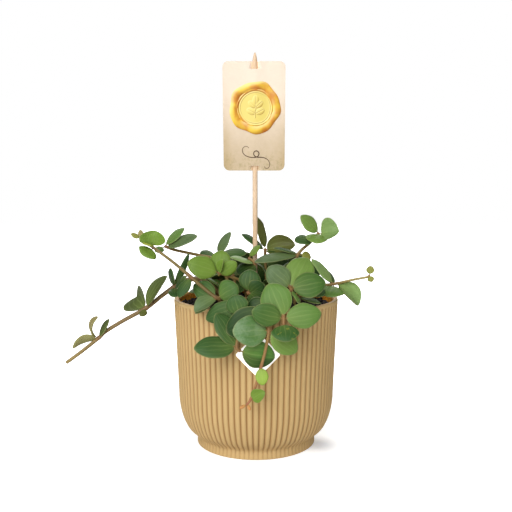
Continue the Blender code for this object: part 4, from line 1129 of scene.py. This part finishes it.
def add_soil():
    """Crumbly soil: an uneven disc strewn with crumbs, over a plain wall down to the pot's floor."""
    rng = random.Random(SOIL_SEED)
    rim = inner_radius(SOIL_TOP) - 0.5
    levels = [(FLOOR_RADIUS - 1, FLOOR_TOP + 1), (inner_radius(SHOULDER_HEIGHT) - 1, SHOULDER_HEIGHT)]
    rows = len(levels) + SOIL_RINGS
    soil = ring_stack("crumbly_soil", SOIL_SIDES, rows)
    turns = turns_of(SOIL_SIDES)
    places = [ring_points(radius * np.cos(turns), radius * np.sin(turns), height)
              for radius, height in levels]
    for ring in range(SOIL_RINGS):
        radius = rim * (1 - ring / SOIL_RINGS)
        row = []
        for turn in turns:
            x, y = radius * math.cos(turn), radius * math.sin(turn)
            rough = rng.uniform(-SOIL_ROUGHNESS, SOIL_ROUGHNESS) if ring else 0
            rough += SOIL_RIPPLE * math.sin(x * 0.9) * math.sin(y * 0.8 + 1)
            row.append((x, y, soil_height(x, y) + rough))
        places.append(np.array(row))
    move_points(soil, np.concatenate(places) * MM)
    close_ends(soil, SOIL_SIDES, rows)
    bpy.ops.mesh.primitive_ico_sphere_add(subdivisions=1, radius=MM)
    crumb = named("crumb")
    master = places_of(crumb)
    crumbs = []
    for _ in range(CRUMB_COUNT):
        turn, reach = rng.uniform(0, math.tau), rim * math.sqrt(rng.uniform(0, 0.98))
        x, y = reach * math.cos(turn), reach * math.sin(turn)
        size = rng.choice(CRUMB_SIZES)
        lumps = np.array([[rng.uniform(*CRUMB_LUMPS) for _ in range(3)] for _ in range(len(master))])
        crumbs.append(copied(crumb, "crumb"))
        middle = np.array((x, y, soil_height(x, y) + 0.55 * size)) * MM
        move_points(crumbs[-1], master * lumps * size + middle)
    bpy.data.objects.remove(crumb, do_unlink=True)
    soil = join([soil] + crumbs, "crumbly_soil")
    finish_mesh(soil, angle=35)
    dress(soil, "soil", soil_finish())


def add_stick():
    """The round wooden stick with its whittled point."""
    rows = ((0.55, STICK_BOTTOM), (1, STICK_BOTTOM + 2), (1, 180), (1.0, STICK_TOP - STICK_POINT - 1),
            (0.97, STICK_TOP - STICK_POINT), (0.72, STICK_TOP - STICK_POINT / 2), (0.46, STICK_TOP - 1.4),
            (0.24, STICK_TOP - 0.1))
    stick = ring_stack("wooden_stick", STICK_SIDES, len(rows), fill="NGON")
    turns = turns_of(STICK_SIDES)
    places = []
    for number, (share, height) in enumerate(rows):
        middle = stick_axis(height)
        facet = 1 - 0.05 * np.cos(5 * turns) if number > 3 else np.ones(STICK_SIDES)
        reach = STICK_RADIUS * share * facet
        places.append(ring_points(middle.x + reach * np.cos(turns), middle.y + reach * np.sin(turns), height))
    move_points(stick, np.concatenate(places) * MM)
    finish_mesh(stick, angle=40)
    dress(stick, "stick", stick_finish())


def card_place(x, z, behind):
    """A point on the card's middle surface, with its corners rounded and its strips bowed round the stick."""
    half = TAG_WIDTH / 2
    middle = (TAG_BOTTOM + TAG_TOP) / 2
    tall = (TAG_TOP - TAG_BOTTOM) / 2
    past_x = abs(x) - (half - TAG_CORNER)
    past_z = abs(z - middle) - (tall - TAG_CORNER)
    if past_x > 0 and past_z > 0:
        share = max(past_x, past_z) / math.hypot(past_x, past_z)
        x = math.copysign(half - TAG_CORNER + past_x * share, x)
        z = middle + math.copysign(tall - TAG_CORNER + past_z * share, z - middle)
    axis = stick_axis(z)
    past = smooth((abs(x) - SLIT_HALF) / CARD_SWELL)
    across = x * (1 - TAG_TAPER * (TAG_TOP - z) / (TAG_TOP - TAG_BOTTOM) * past) + TAG_SHIFT * past
    return axis.x + across, axis.y + card_push(x, behind) + CARD_BOW * math.cos(x / half * 1.4) - 0.5, z


def card_push(x, behind):
    """How far the card stands off the stick's axis: it swells forwards, and its end strips pass behind."""
    front = -CARD_REST - (TAG_PUSH - CARD_REST) * smooth(1 - abs(x) / CARD_SWELL)
    if not behind:
        return front
    return front + (2 * TAG_PUSH - 0.5) * smooth(1.25 * (1 - abs(x) / SLIT_HALF))


def add_card():
    """The card tag: a sheet with two slits, threaded over the stick, with rounded corners."""
    card = sheet("card_tag", CARD_COLUMNS, CARD_ROWS)
    low, high = SLIT_HEIGHTS
    flat = places_of(card)
    flat[:, 0] *= TAG_WIDTH / 2
    flat[:, 1] = (flat[:, 1] + 1) / 2 * (TAG_TOP - TAG_BOTTOM) + TAG_BOTTOM
    step = (TAG_TOP - TAG_BOTTOM) / CARD_ROWS
    for slit in (low, high):
        flat[np.abs(flat[:, 1] - slit) < step / 2, 1] = slit
    for place in (-SLIT_HALF, -BOW_HALF, BOW_HALF, SLIT_HALF):
        flat[np.abs(flat[:, 0] - place) <= TAG_WIDTH / CARD_COLUMNS / 2, 0] = place
    move_points(card, flat)
    start_edit(card, "EDGE")
    end_edit()
    for edge in card.data.edges:
        ends = [card.data.vertices[number].co for number in edge.vertices]
        level = all(min(abs(end.y - low), abs(end.y - high)) < 1e-4 for end in ends)
        edge.select = level and all(abs(end.x) <= SLIT_HALF + 0.01 for end in ends)
    bpy.ops.object.mode_set(mode="EDIT")
    bpy.ops.mesh.edge_split(type="EDGE")
    end_edit()
    around = {}
    for face in card.data.polygons:
        for number in face.vertices:
            around.setdefault(number, []).append(face.center.y)
    places, strip = [], []
    for vertex in card.data.vertices:
        height = sum(around[vertex.index]) / len(around[vertex.index])
        behind = height < low or height > high
        places.append(card_place(vertex.co.x, vertex.co.y, behind))
        # How much painted light lifts the shade on each point of the strips behind the stick.
        strip.append(smooth(2 * (1 - abs(vertex.co.x) / SLIT_HALF)) if behind else 0)
    move_points(card, np.array(places) * MM)
    set_marks(card, "strip", np.array(strip))
    thicken(card, CARD_THICKNESS * MM)
    finish_mesh(card, angle=40)
    dress(card, "tag", card_finish())


def on_card(x, z, lift):
    """A place just in front of the card, across and up from the stick's axis."""
    across, deep, height = card_place(x, z, False)
    return across, deep - TAG_THICKNESS / 2 - lift, height


def print_on_card(thing, lift, finish):
    """Lays a flat piece, drawn in X and Z with its thickness in Y, on the front of the card."""
    places = [on_card(x, z, lift - y) for x, y, z in places_of(thing)]
    move_points(thing, np.array(places) * MM)
    finish_mesh(thing, angle=30)
    thing.data.materials.append(finish)
    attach(thing, "root")


def seal_height(x, z):
    """Height of the seal's relief at a place across and up from its middle."""
    turn = np.arctan2(z, x)
    out = np.hypot(x, z) / (SEAL_RADIUS * seal_edge(turn))
    rim = 1.1 * np.clip(1 - ((out - 0.85) / 0.155) ** 2, 0, 1) ** 0.8
    crease = 0.22 * np.cos(turn * 6 + 1 + out * 3) * np.clip((out - 0.74) / 0.2, 0, 1)
    ridge = 0.5 * np.exp(-((np.hypot(x, z) / SEAL_RADIUS - 0.64) / 0.028) ** 2)
    ring = 0.22 * np.exp(-((np.hypot(x, z) / SEAL_RADIUS - 0.56) / 0.014) ** 2)
    return rim + crease + ridge + ring + sprig_height(x / SEAL_RADIUS, z / SEAL_RADIUS)


def seal_edge(turn):
    """The seal's outline as a share of its radius: uneven, like poured wax."""
    return 0.95 + 0.028 * np.cos(turn * 5 + 0.4) + 0.014 * np.cos(turn * 9 + 2) + 0.008 * np.sin(turn * 2)


def sprig_height(x, z):
    """A sprig in the seal's field: an upright stalk with two pairs of round leaves and one on top."""
    height = 0.35 * np.exp(-((x - 0.03 * np.sin(z * 6)) / 0.016) ** 2) * (np.abs(z + 0.12) < 0.26)
    for base, lean, reach, wide in SEAL_LEAVES:
        turn = math.radians(lean)
        along = ((z - base) * math.cos(turn) + x * math.sin(turn)) / reach
        off = (x * math.cos(turn) - (z - base) * math.sin(turn)) / wide
        swell = np.clip(1 - (2 * along - 1.05) ** 2 - off ** 2, 0, 1)
        height = np.maximum(height, 0.5 * swell ** 0.4 - 0.2 * np.exp(-(off / 0.1) ** 2) * (swell > 0))
    return height


def add_seal():
    """A gold seal with an uneven raised rim, two rings and a sprig of five round leaves in its middle."""
    rows = SEAL_RINGS + SEAL_BACK_RINGS + 1
    seal = ring_stack("gold_seal", SEAL_SIDES, rows, 1)
    turns = turns_of(SEAL_SIDES)
    edge = SEAL_RADIUS * seal_edge(turns)
    step = 0.05
    places, dark, light, field = [], [], [], []
    for ring in range(-SEAL_BACK_RINGS, SEAL_RINGS + 1):
        share = max(0.003, 1 - ring / SEAL_RINGS if ring >= 0 else 1 + (ring + 1) / SEAL_BACK_RINGS)
        reach = edge * share + (SEAL_RADIUS - edge) * share * (1 - share)
        x, z = reach * np.cos(turns), reach * np.sin(turns)
        height = seal_height(x, z)
        lift = np.zeros(SEAL_SIDES) if ring < 0 else 0.08 + 0.45 * height
        slope_x = (seal_height(x + step, z) - height) / step
        slope_z = (seal_height(x, z + step) - height) / step
        facing = np.tanh((slope_x * 0.6 - slope_z * 0.8) * 2.2)
        places.append(np.stack((x + SEAL_PLACE[0], -lift, z + SEAL_PLACE[1]), 1))
        light.append(np.clip(facing, 0, 1) * 0.9)
        dark.append(np.clip(-facing, 0, 1) * 0.85)
        field.append(np.clip((0.62 - reach / SEAL_RADIUS) / 0.02, 0, 1))
    move_points(seal, np.concatenate(places))
    set_marks(seal, "seal_form", *(np.concatenate(channel) for channel in (dark, light, field)))
    close_ends(seal, SEAL_SIDES, rows)
    print_on_card(seal, 0.05, seal_finish())


def add_scroll():
    """A thin ink flourish under the seal: a line with a loop in its middle and a curl at both ends."""
    scroll = sheet("ink_scroll", SCROLL_STEPS, 2)
    flat = places_of(scroll)
    along = np.linspace(-1, 1, SCROLL_STEPS + 1)
    looped = np.clip((along + SCROLL_LOOP) / (2 * SCROLL_LOOP), 0, 1)
    heading = math.radians(SCROLL_LEAN) + SCROLL_TURN * np.abs(along) ** 3.2
    heading += math.tau * (looped * looped * (3 - 2 * looped))
    line = np.stack((np.cos(heading), np.sin(heading)), 1)
    line = np.cumsum(line, 0) - np.cumsum(line, 0)[SCROLL_STEPS // 2]
    size = SCROLL_WIDTH / np.ptp(line[:, 0])
    number = np.rint((flat[:, 0] + 1) / 2 * SCROLL_STEPS).astype(int)
    half = (0.15 + 0.24 * (1 - np.abs(along[number]) ** 1.5)) * flat[:, 1]
    x = line[number, 0] * size - np.sin(heading[number]) * half
    z = line[number, 1] * size + np.cos(heading[number]) * half
    move_points(scroll, np.stack((x + SEAL_PLACE[0], flat[:, 1] * 0, z + SCROLL_HEIGHT), 1))
    thicken(scroll, INK_THICKNESS)
    print_on_card(scroll, 0.06, ink_finish())


def add_label():
    """The plain square label turned on its corner, bent round the ribs."""
    label = sheet("plain_label", LABEL_CELLS, LABEL_CELLS)
    half, straight = LABEL_SIDE / 2, LABEL_SIDE / 2 - LABEL_CORNER
    flat = places_of(label)
    x, y = flat[:, 0] * half, flat[:, 1] * half
    past_x, past_y = np.abs(x) - straight, np.abs(y) - straight
    both = (past_x > 0) & (past_y > 0)
    share = np.where(both, np.maximum(past_x, past_y) / np.maximum(np.hypot(past_x, past_y), 1e-6), 1)
    x = np.where(both, np.sign(x) * (straight + past_x * share), x)
    y = np.where(both, np.sign(y) * (straight + past_y * share), y)
    places = []
    for right, up in zip((x - y) * math.sqrt(0.5), (x + y) * math.sqrt(0.5)):
        ribs = (LABEL_CENTRE_X + right) / wall_radius(LABEL_CENTRE_Z) / math.tau * RIB_COUNT
        places.append(label_point(right, up, 0.25 - 0.09 * (1 - math.cos(math.tau * ribs))))
    move_points(label, np.array(places) * MM)
    thicken(label, PAPER_THICKNESS * MM)
    finish_mesh(label)
    dress(label, "front_label", paper_finish())


def add_leaf_master():
    """A disc of square cells, thickened, with its upper side up."""
    master = sheet("leaf_master", LEAF_CELLS, LEAF_CELLS)
    flat = places_of(master)
    x, y = flat[:, 0].copy(), flat[:, 1].copy()
    flat[:, 0] = x * np.sqrt(1 - y * y / 2)
    flat[:, 1] = y * np.sqrt(1 - x * x / 2)
    move_points(master, flat)
    thicken(master, 1)
    return master


def add_petiole_master():
    """A closed tube of unit bays, which a leaf's own stalk is bent from."""
    master = ring_stack("petiole_master", PETIOLE_SIDES, PETIOLE_BAYS + 1, 1, "NGON")
    finish_mesh(master)
    return master


def leaf_frame(leaf):
    """A leaf's own directions, its reach, its bend and the radius of its curve."""
    along = leaf.tip - leaf.base
    reach = along.length
    along.normalize()
    side = along.cross(leaf.face).normalized()
    up = side.cross(along)
    bend = math.radians(leaf.curl)
    return np.array(along), np.array(side), np.array(up), reach, bend, reach / (2 * math.sin(bend / 2))


def bent(leaf, share, out, rise):
    """Places along a leaf's curve, moved sideways and off its middle surface."""
    along, side, up, reach, bend, radius = leaf_frame(leaf)
    angle = (share - 0.5) * bend
    middle = np.array(leaf.base) + np.outer(reach / 2 + radius * np.sin(angle), along)
    middle += np.outer(radius * (np.cos(angle) - math.cos(bend / 2)), up)
    normal = np.outer(np.cos(angle), up) + np.outer(np.sin(angle), along)
    return middle + np.outer(out, side) + normal * rise[:, None]


def neck_share(leaf):
    """How much of a leaf's reach its bare neck takes."""
    return min(PETIOLE / (leaf.tip - leaf.base).length, NECK_LIMIT)


def grow_blade(master, leaf, rng):
    """A blade bent from the master: domed, a little uneven, thin at its rim.

    Gives each point's place across and along the blade, its side and how near it is to the rim as well.
    """
    blade = copied(master, "blade")
    flat = places_of(master)
    x, y, side_up = flat[:, 0], flat[:, 1], np.sign(flat[:, 2])
    place = (y + 1) / 2
    across = np.clip(x / np.sqrt(np.maximum(1 - y * y, 1e-4)), -1, 1)
    outline = np.array([blade_half_width(share) for share in np.clip(place, 0, 1)])
    half = leaf.width * BLADE_FULLNESS * outline
    neck = neck_share(leaf) * 0.8
    share = neck + (1 - neck) * place
    wave, turn = rng.uniform(0.6, 1.4), rng.uniform(0, math.tau)
    size = min(leaf.width, (leaf.tip - leaf.base).length)
    margin = np.abs(across) ** 2
    rise = half * math.sin(math.radians(leaf.fold)) * margin
    rise += size * 0.012 * wave * np.sin(y * 4.4 + turn) * across * margin
    rise -= size * 0.05 * np.clip(place - 0.72, 0, 1) / 0.28
    for line in (0.0, 0.5):
        rise -= size * 0.011 * np.exp(-((np.abs(across) - line) / 0.11) ** 2) * (1 - place ** 2)
    thick = LEAF_BLADE * np.sqrt(np.maximum(1 - np.minimum(x * x + y * y, 1) ** 3, 0)) / 2 + 0.1
    out = across * half * (1 + 0.015 * wave * np.sin(y * 7 + turn))
    move_points(blade, bent(leaf, share, out, rise + side_up * thick))
    return blade, across, place, side_up, np.sqrt(x * x + y * y)


def grow_petiole(master, leaf):
    """The short stalk that carries a blade, from inside the stem to under the blade's neck."""
    petiole = copied(master, "petiole")
    flat = places_of(master)
    bay = flat[:, 2] / PETIOLE_BAYS
    wide = leaf.root * (1 - 0.2 * bay)
    rise = flat[:, 1] * wide * (1 - 0.35 * bay) - 0.2 * bay
    move_points(petiole, bent(leaf, bay * (neck_share(leaf) + 0.12), flat[:, 0] * wide, rise))
    return petiole


def grow_stalk(stem, girth):
    """A stem: a smooth tube along its route, swollen at its nodes, with a rounded end.

    Gives the places of its nodes as well.
    """
    fine = smooth_route(stem.route, FINE_STEPS)
    curve = bpy.data.curves.new("stalk", "CURVE")
    curve.dimensions = "3D"
    curve.bevel_depth = 1.0
    curve.bevel_resolution = STALK_SIDES // 2 - 2
    curve.use_fill_caps = True
    line = curve.splines.new("POLY")
    extra = [fine[-1] + (fine[-1] - fine[-2]).normalized() * step for step in (0.5, 0.8)]
    line.points.add(len(fine) + len(extra) - 1)
    knots = {leaf_step(stem, leaf) * FINE_STEPS / STEPS for leaf in stem.leaves}
    for number, point in enumerate(fine + extra):
        share = min(number / (len(fine) - 1), 1)
        near = min((abs(number - knot) for knot in knots), default=9)
        swell = 1 + NODE_SWELL * max(0, 1 - near / NODE_REACH)
        tip = {len(fine): 0.75, len(fine) + 1: 0.3}.get(number, 1)
        line.points[number].co = (*point, 1)
        line.points[number].radius = (stem.thick + (stem.thin - stem.thick) * share) / 2 * girth * swell * tip
    stalk = bpy.data.objects.new("stalk", curve)
    bpy.context.collection.objects.link(stalk)
    deselect()
    stalk.select_set(True)
    bpy.context.view_layer.objects.active = stalk
    bpy.ops.object.convert(target="MESH")
    return bpy.context.object, [fine[round(knot)] for knot in knots if round(knot) < len(fine)]


def stalk_colours(stem, stalk, knots, shades):
    """Each point's colour on a stem: from its foot's to its end's, greener higher up and red at its nodes."""
    tree = KDTree(max(len(knots), 1))
    for number, knot in enumerate(knots or [Vector(stem.route[-1])]):
        tree.insert(knot, number)
    tree.balance()
    tan, last, red, green = (np.array(linear(code)) for code in (*shades, NODE_RED, STEM_GREEN))
    foot, end = Vector(stem.route[1]), Vector(stem.route[-1])
    colours = []
    for point in places_of(stalk):
        near = max(0, 1 - tree.find(point)[2] / 4) ** 1.5 * 0.8
        fresh = min(1, max(0, (point[2] - 100) / 90)) * 0.5
        past = (Vector(point) - foot).length / ((Vector(point) - foot).length + (Vector(point) - end).length)
        plain = (tan * (1 - fresh) + green * fresh) * (1 - past ** 3) + last * past ** 3
        colours.append(plain * (1 - near) + red * near)
    return np.array(colours)


def add_leafy_stem(stem, tones, masters, finishes):
    """A stem and its leaves as one piece, dressed over the stem's node."""
    rng = random.Random(stem.name)
    blade_master, petiole_master = masters
    leaf_skin, stalk_skin = finishes
    *shades, girth = STEM_SKINS.get(stem.name, PLAIN_SKIN)
    stalk, knots = grow_stalk(stem, girth)
    paint(stalk, stalk_skin, stalk_colours(stem, stalk, knots, shades))
    parts = [stalk]
    for number, leaf in enumerate(placed_leaves(stem)):
        tone = TONES[tones[number % len(tones)]]
        light = rng.uniform(*LEAF_LIGHT)
        blade, across, place, side_up, edge = grow_blade(blade_master, leaf, rng)
        colour = np.outer(np.full(len(place), light), linear(tone.colour))
        # A split leaf gets painted shade on one half, darker across from its midrib.
        if tones[number % len(tones)] == "split":
            colour *= (1 - 0.55 * np.clip((across - 0.05) / 0.25, 0, 1))[:, None]
        form = (np.where(edge > 0.999, 0.5, (side_up + 1) / 2), 0, edge)
        marks = (tone.veins * rng.uniform(*VEIN_LIGHT), tone.dust, tone.flecks)
        paint(blade, leaf_skin, colour, form, marks, ((across + 1) / 2, place))
        petiole = grow_petiole(petiole_master, leaf)
        paint(petiole, leaf_skin, linear(tone.colour), (0.5, 0.6, 0), spread=(0.5, 0.02))
        parts += [blade, petiole]
    piece = join(parts, "fine_" + stem.name)
    move_points(piece, places_of(piece) * MM)
    finish_mesh(piece, angle=55)
    dress(piece, stem.name)


def add_plant():
    """All the leafy stems."""
    masters = (add_leaf_master(), add_petiole_master())
    finishes = (leaf_finish(), stalk_finish())
    for stem in list(FRONT_STEMS) + back_stems():
        tones = LEAF_TONES[stem.name].split() if stem.name in LEAF_TONES else BACK_TONES
        add_leafy_stem(stem, tones, masters, finishes)
    for master in masters:
        bpy.data.objects.remove(master, do_unlink=True)


def add_floor():
    """A white floor that looks evenly lit from the camera, but for a soft shadow painted beside the pot's
    foot.
    """
    bpy.ops.mesh.primitive_plane_add(size=FLOOR_SIZE)
    floor = named("floor")
    white = Finish("floor_white", "f0f0f0", 0.9, Specular_IOR_Level=0.1)
    floor.data.materials.append(white.material)
    glow = white.node("ShaderNodeEmission", {}, {"Color": "ffffff", "Strength": FLOOR_GLOW})
    across, deep, _ = white.axes(white.place())
    away = ((across * across + deep * deep) ** 0.5).between(*FLOOR_FADE)
    # A painted shadow: in an oval beside the pot's foot the floor's glow gives way to its own shading, and
    # its colour turns a little blue.
    right = (across - PAINTED_SHADOW_PLACE[0]) / PAINTED_SHADOW_REACH[0]
    back = (deep - PAINTED_SHADOW_PLACE[1]) / PAINTED_SHADOW_REACH[1]
    lit = ((right * right + back * back) ** 0.5).between(0.1, 1.0) * 0.68 + 0.32
    white.wear(white.blend(lit, "dbe2f1", "f0f0f0"))
    share = lit * FLOOR_SHARE + away * (1 - FLOOR_SHARE)
    seen = white.number(white.node("ShaderNodeLightPath", {}, {})) * share
    mix = white.node("ShaderNodeMixShader", {}, {0: seen, 1: white.shader.outputs[0], 2: glow.outputs[0]})
    white.feed(white.tree.nodes["Material Output"].inputs["Surface"], mix.outputs[0])


def add_world():
    """A room that is plain white to the camera and gives a soft warm light."""
    world = bpy.data.worlds.new("white_room")
    bpy.context.scene.world = world
    world.use_nodes = True
    room = Nodes(world.node_tree)
    light = room.tree.nodes["Background"]
    room.feed(light.inputs["Color"], (*WORLD_TINT, 1))
    room.feed(light.inputs["Strength"], WORLD_LIGHT)
    seen = room.node("ShaderNodeBackground", {}, {"Color": "ffffff", "Strength": 1.0})
    camera_ray = room.node("ShaderNodeLightPath", {}, {}).outputs["Is Camera Ray"]
    mix = room.node("ShaderNodeMixShader", {}, {0: camera_ray, 1: light.outputs[0], 2: seen.outputs[0]})
    room.feed(room.tree.nodes["World Output"].inputs["Surface"], mix.outputs[0])


def add_lights():
    """The round soft lights, each turned to the middle of the object."""
    for name, place, size, power in LIGHTS:
        bpy.ops.object.light_add(type="AREA", location=place)
        light = bpy.context.object
        light.name = name
        light.data.shape = "DISK"
        light.data.size = size
        light.data.energy = power
        light.rotation_euler = (Vector(LIT_PLACE) - Vector(place)).to_track_quat("-Z", "Y").to_euler()


def add_camera():
    """The camera at the photograph's place."""
    bpy.ops.object.camera_add(location=CAMERA_PLACE, rotation=(math.radians(CAMERA_TILT), 0, 0))
    camera = bpy.context.object
    camera.data.lens = CAMERA_LENS
    camera.data.sensor_width = 36
    camera.data.clip_start = 0.01
    bpy.context.scene.camera = camera
    bpy.context.scene.view_settings.view_transform = "Standard"


deselect()
add_pot()
add_soil()
add_stick()
add_card()
add_seal()
add_scroll()
add_label()
add_plant()
add_floor()
add_world()
add_lights()
add_camera()
